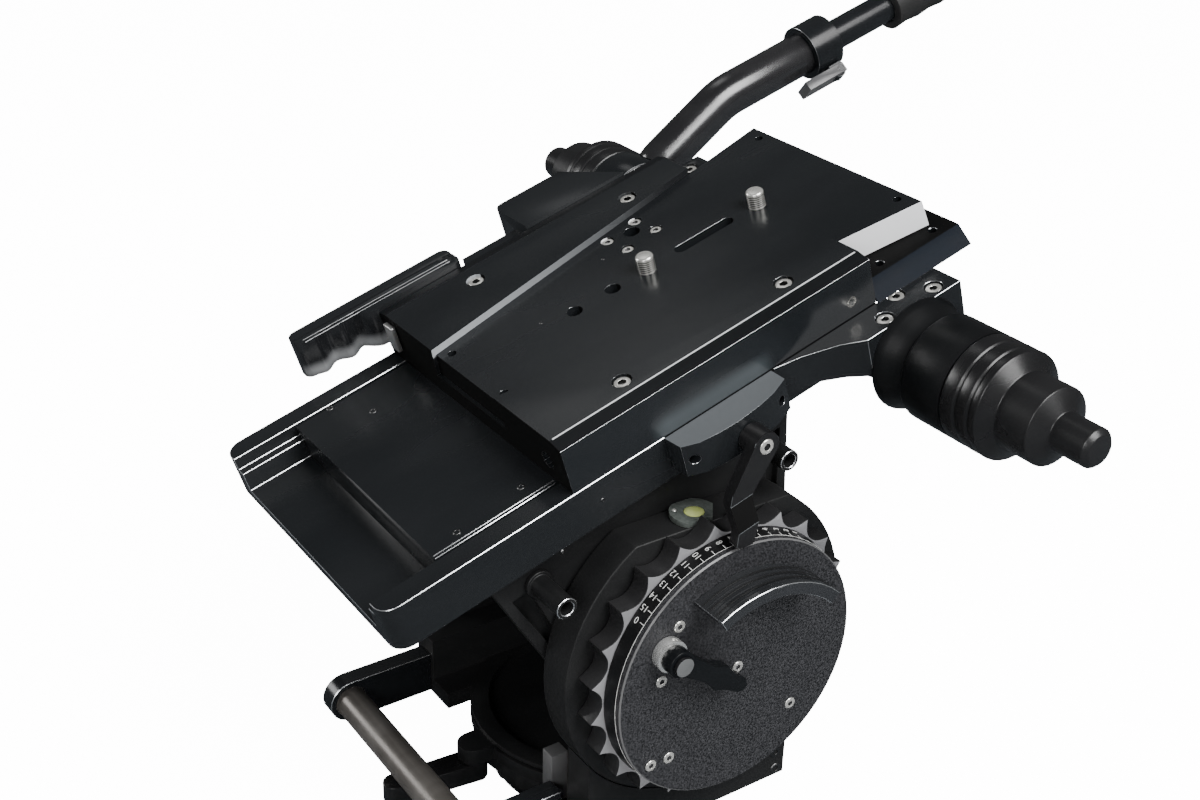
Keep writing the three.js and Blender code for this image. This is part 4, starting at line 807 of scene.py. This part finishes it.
@dataclass
class Casting(SubAssembly):
    """The pan casting with its housings, covers, level, floor block and carrying handle."""

    cheek_screw_x: float = 100.6
    cheek_screws: tuple[Pair, ...] = ((51.4, -91.9), (52.4, -103.4))
    level_screw: Triple = (85.9, -14.3, 209.9)

    def build(self) -> None:
        """Dresses the casting's nodes and adds its screws."""
        for node in ("pan_body", "dial_housing", "far_housing"):
            self.dress(node, Look.CASTING, Edge.CAST)
        self.dress("far_cover", Look.ANODISED, Edge.CRISP)
        self.dress("floor_block", Look.GREY, Edge.MOULDED)
        self.dress("bubble_bezel", Look.BEZEL, Edge.TURNED)
        self.dress("bubble_vial", Look.GLASS, Edge.TURNED)
        self.dress("carry_arm_left", Look.ANODISED, Edge.CRISP)
        self.dress("carry_arm_right", Look.ANODISED, Edge.CRISP)
        self.dress("carry_tube", Look.TUBE, Edge.SHARP)
        places = facing_right(AXLE, self.cheek_screw_x, self.cheek_screws)
        CapScrew(3.4, 3.0, 1.7).scatter("cheek_screws", "pan_casting", Look.DARK_SCREW, places)
        places = [Matrix.Translation(self.level_screw)]
        CapScrew(1.3, 0.8, 0.5, 16).scatter("level_screw", "pan_casting", Look.SCREW, places)


@dataclass
class DialSide(SubAssembly):
    """The drag ring, the numbered scale, the dial disc, its grip, its lock and the tilt brake lever."""

    digit_height: float = 3.6
    digit_narrow: float = 0.86
    digit_x: float = 116.2
    digit_depth: float = 0.09
    digit_lift: float = 0.02
    digit_thinning: float = -0.07
    digit_steps: int = 4
    font_share: float = 1.38
    scale_radius: float = 71.43
    scale_slope: float = 7.83
    tick_x: Pair = (118.5, 121.45)
    tick_z: Pair = (-0.3, 0.06)
    tick_half_width: float = 0.15
    tick_radius: float = 70.87
    line_x: Pair = (121.22, 121.45)
    line_radius: float = 70.8
    line_sides: int = 128
    disc_face: float = 124.8
    disc_rim: Pair = (0.3, 0.95)
    disc_screw_lift: float = 0.5
    chrome_share: float = 0.4
    rib_shares: tuple[float, ...] = (0.3, 0.52, 0.74)
    rib_parts: int = 16
    rib_end: float = 1.5
    rib_half_width: float = 0.25
    rib_z: Pair = (-0.4, 0.12)
    rim_depth: float = 0.6
    digit_angles: tuple[float, ...] = (
        -52.0, 31.6, 26.0, 20.5, 14.8, 9.3, 3.9, -1.9,
        -7.7, -13.0, -18.5, -24.1, -29.7, -35.3, -41.1, -46.6,
    )
    disc_screws: tuple[Pair, ...] = (
        (-37.5, 38.1), (-46.6, 10.0), (-0.3, 0.5), (36.1, -36.4), (-40.1, -38.4), (-50.9, -38.6),
    )

    def around(self, angle: float, x: float, radius: float) -> Matrix:
        """A place on the sloping scale whose +Z points outwards and whose +X points to the drag ring."""
        turned = at(AXLE @ Matrix.Rotation(math.radians(-angle), 4, "X"), x, 0, radius)
        slope = Matrix.Rotation(math.radians(self.scale_slope), 4, "Y")
        return turned @ slope @ Matrix.Rotation(math.pi, 4, "Z")

    def number(self, value: int, angle: float) -> Piece:
        """One number of the scale as a thin raised mesh.

        Args:
            value: the number.
            angle: its place round the scale, from the top towards the rear, in degrees.

        Returns:
            The placed number.
        """
        bpy.ops.object.select_all(action="DESELECT")
        bpy.ops.object.text_add()
        text = bpy.context.view_layer.objects.active
        text.data.body = str(value)
        text.data.size = self.digit_height * MM * self.font_share
        text.data.align_x = "CENTER"
        text.data.align_y = "CENTER"
        text.data.extrude = self.digit_depth * MM
        text.data.offset = self.digit_thinning * MM
        text.data.resolution_u = self.digit_steps
        bpy.ops.object.convert(target="MESH")
        text = Bench.active(f"number_{value}")
        text.scale = (self.digit_narrow, 1, 1)
        return Bench.place(text, self.around(angle, self.digit_x, self.scale_radius + self.digit_lift))

    def scale(self) -> None:
        """The numbers, the tick marks and the line beside them, all in white paint."""
        numbers = [self.number(value, angle) for value, angle in enumerate(self.digit_angles)]
        self.fit(Bench.join("scale_numbers", numbers), "dial", Look.PAINT)
        half, middle = (self.tick_x[1] - self.tick_x[0]) / 2, sum(self.tick_x) / 2
        wide, (low, high) = self.tick_half_width, self.tick_z
        mark = Bench.block("tick", (-half, -wide, low), (half, wide, high))
        places = [self.around(angle, middle, self.tick_radius) for angle in sorted(self.digit_angles)]
        marks = Bench.repeat("ticks", mark, places)
        ends = [(self.line_radius, x) for x in self.line_x]
        line = Bench.place(Bench.turned("scale_line", ends, self.line_sides), AXLE @ FACING_RIGHT)
        self.fit(Bench.join("scale_ticks", [marks, line]), "dial", Look.PAINT)

    def grip(self) -> None:
        """Dresses the arched grip and lays fine ribs along its outer face."""
        corners = self.corners_in(AXLE, self.dress("dial_grip", Look.GRIP, Edge.CRISP))
        outer = max(c.yz.length for c in corners)
        rim = [math.degrees(math.atan2(c.y, c.z)) for c in corners if c.yz.length > outer - self.rim_depth]
        first, last = min(rim) + self.rib_end, max(rim) - self.rib_end
        step = (last - first) / self.rib_parts
        half = math.radians(step) * outer / 2
        wide, (low, high) = self.rib_half_width, self.rib_z
        for i, share in enumerate(self.rib_shares):
            x = self.disc_face + share * (max(c.x for c in corners) - self.disc_face)
            part = Bench.block("part", (-wide, -half, low), (wide, half, high))
            turns = [math.radians(-(first + step * (j + 0.5))) for j in range(self.rib_parts)]
            places = [at(AXLE @ Matrix.Rotation(turn, 4, "X"), x, 0, outer) for turn in turns]
            self.fit(Bench.repeat(f"grip_rib_{i}", part, places), "dial", Look.RING)

    def build(self) -> None:
        """Dresses the dial's nodes and adds the scale and screws."""
        ring = self.dress("tilt_drag_ring", Look.RING, Edge.MOULDED)
        # The drag ring's flat end faces get a grey painted highlight.
        self.repaint(ring, Look.RING_FACE, lambda centre, normal: normal.x > FACE_ON)
        self.dress("scale_ring", Look.SCALE, Edge.SHARP)
        disc = self.dress("dial_disc", Look.TEXTURED, Edge.SHARP)
        # The disc's chamfered rim gets grey plastic as a painted highlight.
        self.repaint(disc, Look.GREY, lambda centre, normal: within(normal.x, self.disc_rim))
        self.grip()
        boss = self.dress("dial_lock_boss", Look.CHROME, Edge.TURNED)
        ends = [corner.x for corner in self.corners_in(AXLE, boss)]
        barrel = min(ends) + self.chrome_share * (max(ends) - min(ends))
        self.repaint(boss, Look.PLASTIC, lambda centre, normal: centre.x > barrel and normal.x < FACE_ON)
        self.repaint(boss, Look.LIGHT, lambda centre, normal: centre.x > barrel and normal.x > FACE_ON)
        # The wing lever gets the darker copy of black anodised as painted shade.
        self.dress("dial_lock_lever", Look.SLOPE, Edge.MOULDED)
        self.dress("tilt_brake_lever", Look.PLASTIC, Edge.MOULDED)
        self.scale()
        places = facing_right(AXLE, self.disc_face + self.disc_screw_lift, self.disc_screws)
        CapScrew(3.25, 2.6, 1.5).scatter("disc_screws", "dial", Look.SCREW, places)


@dataclass
class Cradle(SubAssembly):
    """The side plates, the spring drum, the journals and the hollow stop posts."""

    rim_depth: float = 0.6

    def build(self) -> None:
        """Dresses the tilting cradle's nodes."""
        for side in ("near", "far"):
            self.dress(f"cradle_{side}", Look.CASTING, Edge.MOULDED)
            self.dress(f"tilt_stub_{side}", Look.STEEL, Edge.TURNED)
            for end in ("front", "rear"):
                post = self.dress(f"stop_post_{side}_{end}", Look.CASTING, Edge.CRISP)
                rim = max(abs(corner.x) for corner in self.corners_in(CRADLE, post)) - self.rim_depth
                # Only the bevel at each post's end keeps its painted highlight; the rest goes back to
                # casting.
                self.repaint(post, Look.CASTING, lambda centre, normal: abs(centre.x) < rim)
        self.dress("spring_drum", Look.CASTING, Edge.CAST)


@dataclass
class Tray(SubAssembly):
    """The long channel under the platform, its raised lugs with their painted shadow lines, its pins and the
    slide lock.
    """

    edge: float = 88.3
    top: float = 120.0
    sheen_depth: float = 0.9
    seam_low: Triple = (-0.75, 12.4, -1.2)
    seam_high: Triple = (0.65, 145.1, 0.06)
    seam_edge: float = 0.05
    lever_slant: Pair = (0.3, 0.9)
    pin_lift: float = 0.3
    side_pins: tuple[Pair, ...] = ((-158.9, -25.8), (-131.9, -12.1))
    lock_screw_x: float = 119.6
    lock_screws: tuple[Pair, ...] = ((47.0, 108.0),)

    def build(self) -> None:
        """Dresses the tray, the lugs and the cranked lock lever, and adds the painted shadow lines, pins and
        screw.
        """
        self.dress("tray", Look.ANODISED, Edge.MACHINED)
        home, low = CRADLE.inverted(), self.top - self.sheen_depth
        for side in ("near", "far"):
            lug = self.dress(f"tray_lug_{side}", Look.ANODISED, Edge.MACHINED)
            # The lugs' tops get painted sheen.
            self.repaint(lug, Look.SHEEN, lambda centre, normal: (home @ centre).z > low)
        lever = self.dress("slide_lock_lever", Look.PLASTIC, Edge.CRISP)
        # The lever's bevel strips get the dimmer painted sheen instead of the painted highlight.
        lever.data.materials[1] = Look.SHEEN.material()
        # The lever's slanted faces get painted shade.
        self.repaint(
            lever,
            Look.HOLLOW,
            lambda centre, normal: within(normal.x, self.lever_slant) and normal.z > self.lever_slant[0],
        )
        # A dark strip of painted shadow lies along the tray's edge where each lug meets it.
        for x, side in ((self.edge, "near"), (-self.edge, "far")):
            shadow_line = Bench.block(f"lug_seam_{side}", self.seam_low, self.seam_high, self.seam_edge)
            self.fit(shadow_line, "cradle", Look.HOLLOW, at(CRADLE, x, 0, self.top))
        places = facing_right(PLATFORM, self.edge + self.pin_lift, self.side_pins)
        CapScrew(1.3, 1.0, 0.7, 16).scatter("side_pins", "cradle", Look.DARK_SCREW, places)
        places = facing_right(CRADLE, self.lock_screw_x, self.lock_screws)
        CapScrew(4.0, 3.5, 2.0).scatter("lock_screw", "slide_lock", Look.SCREW, places)


@dataclass
class RearArms(SubAssembly):
    """The two curved arms, the flared necks and the clamp knobs of the pan handle."""

    corner: Pair = (88.6, 77.3)
    spread: Pair = (19.7, 106.0)
    shares: tuple[Pair, ...] = ((0.14, 0.74), (0.64, 0.585), (0.64, 0.89))
    screw_top: float = 119.3

    def build(self) -> None:
        """Dresses the arms, necks and knobs and adds the arms' screws."""
        # Only the near arm's edges get the painted highlight.
        for side, edge in (("near", Edge.MACHINED), ("far", Edge.TURNED)):
            self.dress(f"rear_arm_{side}", Look.ANODISED, edge)
            self.dress(f"handle_mount_{side}", Look.NECK, Edge.TURNED)
            self.dress(f"mount_knob_{side}", Look.PLASTIC, Edge.MOULDED)
        (x, y), (wide, long) = self.corner, self.spread
        spots = [(end * (x + a * wide), y + b * long) for end in (1, -1) for a, b in self.shares]
        places = facing_up(CRADLE, self.screw_top, spots)
        CapScrew(4.3, 4.0, 2.1).scatter("arm_screws", "cradle", Look.SCREW, places)


@dataclass
class PanHandle(SubAssembly):
    """The rosette ring, the bent tube, its collar lever and the telescopic end with its grip."""

    def build(self) -> None:
        """Dresses the handle's nodes."""
        self.dress("handle_ring", Look.ANODISED, Edge.CRISP)
        self.dress("pan_handle", Look.PIPE, Edge.TURNED)
        self.dress("handle_collar", Look.ANODISED, Edge.CRISP)
        self.dress("collar_lever", Look.GREY, Edge.MOULDED)
        self.dress("handle_inner", Look.ANODISED, Edge.SHARP)
        self.dress("handle_grip", Look.RUBBER, Edge.MOULDED)
        self.dress("grip_cap", Look.PLASTIC, Edge.MOULDED)


@dataclass(frozen=True)
class Strip:
    """A thin strip of painted highlight along an edge of the platform, made level and then leant over."""

    name: str
    finish: Look
    low: Triple
    high: Triple
    edge: float
    place: Triple
    lean: float


@dataclass
class SlidingPlatform(SubAssembly):
    """The dovetail plate, the receiver block, the rear base and the clamp lever with its housing."""

    plate_strip: Strip = Strip(
        "plate_edge_highlight_near", Look.EDGE, (-0.95, -212.4, -0.12), (0.95, -145.6, 0.1), 0.05,
        (72.55, 0, -0.45), 45.0,
    )
    block_strip: Strip = Strip(
        "block_edge_highlight_near", Look.EDGE_LINE, (-0.42, -143.4, -0.1), (0.42, 38.9, 0.07), 0.03,
        (80.0, 0, 27.7), 6.75,
    )
    plate_screw_top: float = 0.3
    plate_screws: tuple[Pair, ...] = ((-50.5, -178.5), (63.4, -158.7), (-72.5, -193.0), (66.4, -196.3))
    block_angle: float = 12.5
    block_screw_top: float = 26.9
    block_screws: tuple[Pair, ...] = ((-67.0, -96.0), (-64.0, 2.0), (70.0, -97.0), (70.5, 1.0))
    side_screw_x: float = 88.3
    side_screws: tuple[Pair, ...] = ((26.0, 8.7),)
    slope_x: Pair = (78, 89)
    slope_slant: Pair = (0.18, 0.4)
    rail_z: Pair = (12, 28)
    wall_normal: float = 0.5
    flank_x: float = 87
    flank_normal: float = 0.99
    top_normal: float = 0.7
    rear_x: float = 82
    rear_slant: Pair = (0.5, 0.9)
    lever_top: float = 7.0
    line_inset: float = 5.0
    line_width: float = 0.24
    line_z: Pair = (-0.2, 0.05)
    line_edge: float = 0.02
    line_places: Pair = (1.4, 4.2)

    def on_side_slope(self, centre: Vector, normal: Vector) -> bool:
        """Tells whether a face belongs to the block's long slopes beside its top."""
        x = abs((PLATFORM.inverted() @ centre).x)
        turned = PLATFORM.to_3x3().inverted() @ normal
        return within(x, self.slope_x) and within(abs(turned.x), self.slope_slant) and turned.z > FACE_ON

    def on_rail(self, centre: Vector, normal: Vector) -> bool:
        """Tells whether a face is the wall of the block's wedge-shaped opening, above the wedge plate."""
        local = PLATFORM.inverted() @ centre
        inside = abs(local.x) < self.slope_x[0] and within(local.z, self.rail_z)
        return inside and abs(normal.x) > self.wall_normal and local.x * normal.x < 0

    def lay(self, strip: Strip) -> None:
        """Makes a strip of painted highlight and lays it along its edge."""
        piece = Bench.block(strip.name, strip.low, strip.high, strip.edge)
        turn = Matrix.Rotation(math.radians(strip.lean), 4, "Y")
        self.fit(piece, "platform", strip.finish, at(PLATFORM, *strip.place) @ turn)

    def lever(self) -> None:
        """Dresses the clamp lever, paints a highlight band on its lower part and lays two fine lines of
        painted highlight along its top.
        """
        lever = self.dress("clamp_lever", Look.ANODISED, Edge.TURNED)
        corners = self.corners_in(PLATFORM, lever)
        top, middle = max(c.z for c in corners), sum(c.x for c in corners) / len(corners)
        below = top - self.lever_top
        # The lever's lower part gets a band of painted highlight.
        self.repaint(lever, Look.WAVE, lambda centre, normal: (PLATFORM.inverted() @ centre).z < below)
        front, rear = min(c.y for c in corners) + self.line_inset, max(c.y for c in corners) - self.line_inset
        low, high = (top + z for z in self.line_z)
        lines = [
            Bench.block("line", (x, front, low), (x + self.line_width, rear, high), self.line_edge)
            for x in (middle + place for place in self.line_places)
        ]
        self.fit(Bench.join("lever_highlight_lines", lines), "clamp", Look.EDGE_LINE, PLATFORM)

    def build(self) -> None:
        """Dresses the platform's nodes with painted light and shade on some faces, and adds its strips and
        lines of painted highlight and its screws.
        """
        self.dress("dovetail_plate", Look.ANODISED, Edge.TURNED)
        self.lay(self.plate_strip)
        places = facing_up(PLATFORM, self.plate_screw_top, self.plate_screws)
        CapScrew(2.2, 1.5, 1.2).scatter("plate_screws", "platform", Look.DARK_SCREW, places)
        body = self.dress("adaptor_body", Look.ANODISED, Edge.MACHINED, self.block_angle)
        # The block's long slopes get the darker copy of black anodised as painted shade.
        self.repaint(body, Look.SLOPE, self.on_side_slope)
        # The block's long sides get a band of painted reflection.
        self.repaint(
            body,
            Look.FLANK,
            lambda centre, normal: abs(normal.x) > self.flank_normal and abs(centre.x) > self.flank_x,
        )
        # The walls of the opening get a band of painted highlight.
        self.repaint(body, Look.RAIL, self.on_rail)
        # The block's front faces get painted shade.
        self.repaint(body, Look.HOLLOW, lambda centre, normal: normal.y < FRONT_ON)
        self.lay(self.block_strip)
        # The rear base gets the darker copy of black anodised as painted shade, its tops darker still as
        # painted shade, and its side slopes a dark bluish painted reflection.
        base = self.dress("rear_base", Look.SLOPE, Edge.MACHINED)
        self.repaint(base, Look.HOLLOW, lambda centre, normal: normal.z > self.top_normal)
        self.repaint(
            base,
            Look.REAR,
            lambda centre, normal: within(abs(normal.x), self.rear_slant) and abs(centre.x) > self.rear_x,
        )
        self.dress("lever_housing", Look.ANODISED, Edge.TURNED)
        self.lever()
        self.dress("clamp_bracket", Look.LIGHT, Edge.MOULDED)
        places = facing_up(PLATFORM, self.block_screw_top, self.block_screws)
        CapScrew(4.4, 4.5, 2.3).scatter("block_screws", "platform", Look.SCREW, places)
        places = facing_right(PLATFORM, self.side_screw_x, self.side_screws)
        CapScrew(3.6, 3.0, 1.9).scatter("block_side_screw", "platform", Look.SCREW, places)


@dataclass
class WedgePlate(SubAssembly):
    """The wedge plate that carries the camera, with its two threaded camera screws."""

    top: float = 23.4
    front: float = 143.0
    front_half: float = 31.0
    taper: float = 0.156
    flank_depth: float = 3.6
    wall_normal: float = 0.5
    camera_screw_x: float = -2.0
    camera_screws: tuple[tuple[str, float], ...] = (("front", -30.5), ("rear", 42.5))
    thread_radius: float = 4.82
    thread_reach: Pair = (0.8, 8.2)
    thread_sides: int = 32
    pitch: float = 1.15
    groove_share: float = 0.42
    pin: Pair = (-36.6, -15.9)
    pin_ring: float = 13.1
    pin_angles: tuple[float, ...] = (61.0, 136.0, 242.0, 315.0)
    pin_screw_drop: float = 0.4
    set_screw_lift: float = 0.25
    set_screws: tuple[Pair, ...] = ((-30.5, -39.0), (-9.0, -92.9))

    def on_flank(self, centre: Vector, normal: Vector) -> bool:
        """Tells whether a face belongs to one of the plate's long flanks."""
        local = PLATFORM.inverted() @ centre
        half = self.front_half + self.taper * (local.y + self.front)
        return abs(normal.x) > self.wall_normal and abs(abs(local.x) - half) < self.flank_depth

    def thread(self, end: str, where: Matrix) -> None:
        """Rings of painted shade standing for the grooves of a camera screw's thread.

        Args:
            end: which of the two screws.
            where: the place where its axis leaves the plate.
        """
        low, high = self.thread_reach
        stations = [(self.thread_radius, 0), (self.thread_radius, self.pitch * self.groove_share)]
        groove = Bench.turned("groove", stations, self.thread_sides)
        count = int((high - low) / self.pitch)
        places = [Matrix.Translation((0, 0, low + i * self.pitch)) for i in range(count)]
        grooves = Bench.repeat(f"thread_{end}", groove, places)
        self.fit(grooves, f"screw_{end}", Look.HOLLOW, where)

    def build(self) -> None:
        """Dresses the plate and its screws and adds the small screws round the pin's hole."""
        plate = self.dress("wedge_plate", Look.ANODISED, Edge.MACHINED)
        # The wedge plate's front faces get painted shade.
        self.repaint(plate, Look.HOLLOW, lambda centre, normal: normal.y < FRONT_ON)
        # The wedge plate's long flanks get a near-white painted highlight.
        self.repaint(plate, Look.BARE, self.on_flank)
        for end, y in self.camera_screws:
            self.dress(f"camera_screw_{end}", Look.SCREW, Edge.TURNED)
            self.thread(end, at(PLATFORM, self.camera_screw_x, y, self.top))
        turns = [math.radians(angle) for angle in self.pin_angles]
        (x, y), ring = self.pin, self.pin_ring
        spots = [(x + ring * math.cos(turn), y + ring * math.sin(turn)) for turn in turns]
        places = facing_up(PLATFORM, self.top - self.pin_screw_drop, spots)
        CapScrew(3.3, 2.4, 1.7).scatter("pin_screws", "wedge", Look.SCREW, places)
        places = facing_up(PLATFORM, self.top + self.set_screw_lift, self.set_screws)
        CapScrew(1.1, 1.0, 0.6, 16).scatter("set_screws", "wedge", Look.DARK_SCREW, places)


@dataclass
class Softbox:
    """One large soft light, aimed at the head. Its sizes are in metres."""

    title: str
    place: Triple
    size: Pair
    power: float
    aim: Triple = (0.0, 0.0, 0.2)

    def hang(self) -> None:
        """Adds the light."""
        lamp = bpy.data.lights.new(self.title, "AREA")
        lamp.shape = "RECTANGLE"
        lamp.size, lamp.size_y = self.size
        lamp.energy = self.power
        holder = bpy.data.objects.new(self.title, lamp)
        bpy.context.scene.collection.objects.link(holder)
        holder.location = self.place
        holder.rotation_mode = "QUATERNION"
        holder.rotation_quaternion = (Vector(self.aim) - Vector(self.place)).to_track_quat("-Z", "Y")


@dataclass
class Studio:
    """The pale floor, the soft light and the camera at the photograph's angle. Its sizes are in metres."""

    floor_size: float = 16.0
    floor_height: float = -0.0002
    floor_colour: Triple = (0.92, 0.92, 0.92)
    floor_roughness: float = 0.9
    floor_specular: float = 0.1
    mirrored_colour: Triple = (0.09, 0.10, 0.11)
    paper_glow: float = 14.0
    sky_colour: Triple = (0.95, 0.98, 1.0)
    sky: float = 0.09
    boxes: tuple[Softbox, ...] = (
        Softbox("top_box", (2.0, 0.5, 2.5), (1.8, 1.8), 150.0),
        Softbox("edge_box", (-1.48, 0.3, 2.5), (0.5, 1.3), 2.5),
        Softbox("left_box", (-2.4, -2.0, 1.2), (1.1, 1.1), 36.0),
        Softbox("front_box", (1.8, -2.2, 1.4), (1.3, 1.1), 46.0),
    )
    camera_place: Triple = (0.63446, -0.43396, 0.62395)
    camera_turn: Triple = (55.648, 62.725, 1.296)
    camera_reach: Pair = (0.01, 60.0)
    lens: float = 49.914
    sensor: float = 36.0

    def floor(self) -> None:
        """The floor, a wide plane with a plain matt finish.

        The camera sees it lit from behind, and the head's gloss mirrors it as dark cloth.
        """
        bpy.ops.object.select_all(action="DESELECT")
        bpy.ops.mesh.primitive_plane_add(size=self.floor_size, location=(0, 0, self.floor_height))
        floor = Bench.active("studio_floor")
        paper = bpy.data.materials.new("studio_paper")
        paper.use_nodes = True
        tree = paper.node_tree
        shader = tree.nodes["Principled BSDF"]
        rays = add_node(tree, "LightPath")
        glow = {0: (rays, "Is Camera Ray"), 1: self.paper_glow}
        matt = {
            "Base Color": (*self.floor_colour, 1),
            "Roughness": self.floor_roughness,
            "Specular IOR Level": self.floor_specular,
            "Emission Color": (1, 1, 1, 1),
            "Emission Strength": (add_node(tree, "Math", glow, operation="MULTIPLY"), "Value"),
        }
        feed(shader, matt)
        cloth = add_node(tree, "BsdfDiffuse", {"Color": (*self.mirrored_colour, 1)})
        choice = {"Fac": (rays, "Is Glossy Ray"), 1: (shader, "BSDF"), 2: (cloth, "BSDF")}
        feed(tree.nodes["Material Output"], {"Surface": (add_node(tree, "MixShader", choice), "Shader")})
        floor.data.materials.append(paper)
        floor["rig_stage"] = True

    def camera(self) -> None:
        """The camera at the photograph's place and angle."""
        data = bpy.data.cameras.new("camera")
        data.lens, data.sensor_width = self.lens, self.sensor
        data.clip_start, data.clip_end = self.camera_reach
        holder = bpy.data.objects.new("camera", data)
        bpy.context.scene.collection.objects.link(holder)
        turn = Matrix.Identity(4)
        for angle, axis in zip(self.camera_turn, "ZXZ"):
            turn = turn @ Matrix.Rotation(math.radians(angle), 4, axis)
        holder.matrix_world = Matrix.Translation(self.camera_place) @ turn
        bpy.context.scene.camera = holder

    def build(self) -> None:
        """Sets up the floor, the sky, the lights and the camera."""
        self.floor()
        world = bpy.data.worlds.new("studio_sky")
        world.use_nodes = True
        sky = {"Color": (*self.sky_colour, 1), "Strength": self.sky}
        feed(world.node_tree.nodes["Background"], sky)
        bpy.context.scene.world = world
        for box in self.boxes:
            box.hang()
        self.camera()


def corners() -> list[list[float]]:
    """The shown object's lowest and highest corners, as plain lists."""
    return [list(corner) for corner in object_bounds()]


def main() -> None:
    """Builds the studio and every sub-assembly."""
    logging.basicConfig(level=logging.INFO, format="%(message)s")
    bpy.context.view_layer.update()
    Studio().build()
    for part in (
        BaseAndPan(), Casting(), DialSide(), Cradle(), Tray(),
        RearArms(), PanHandle(), SlidingPlatform(), WedgePlate(),
    ):
        part.build()


if __name__ == "__main__":
    main()
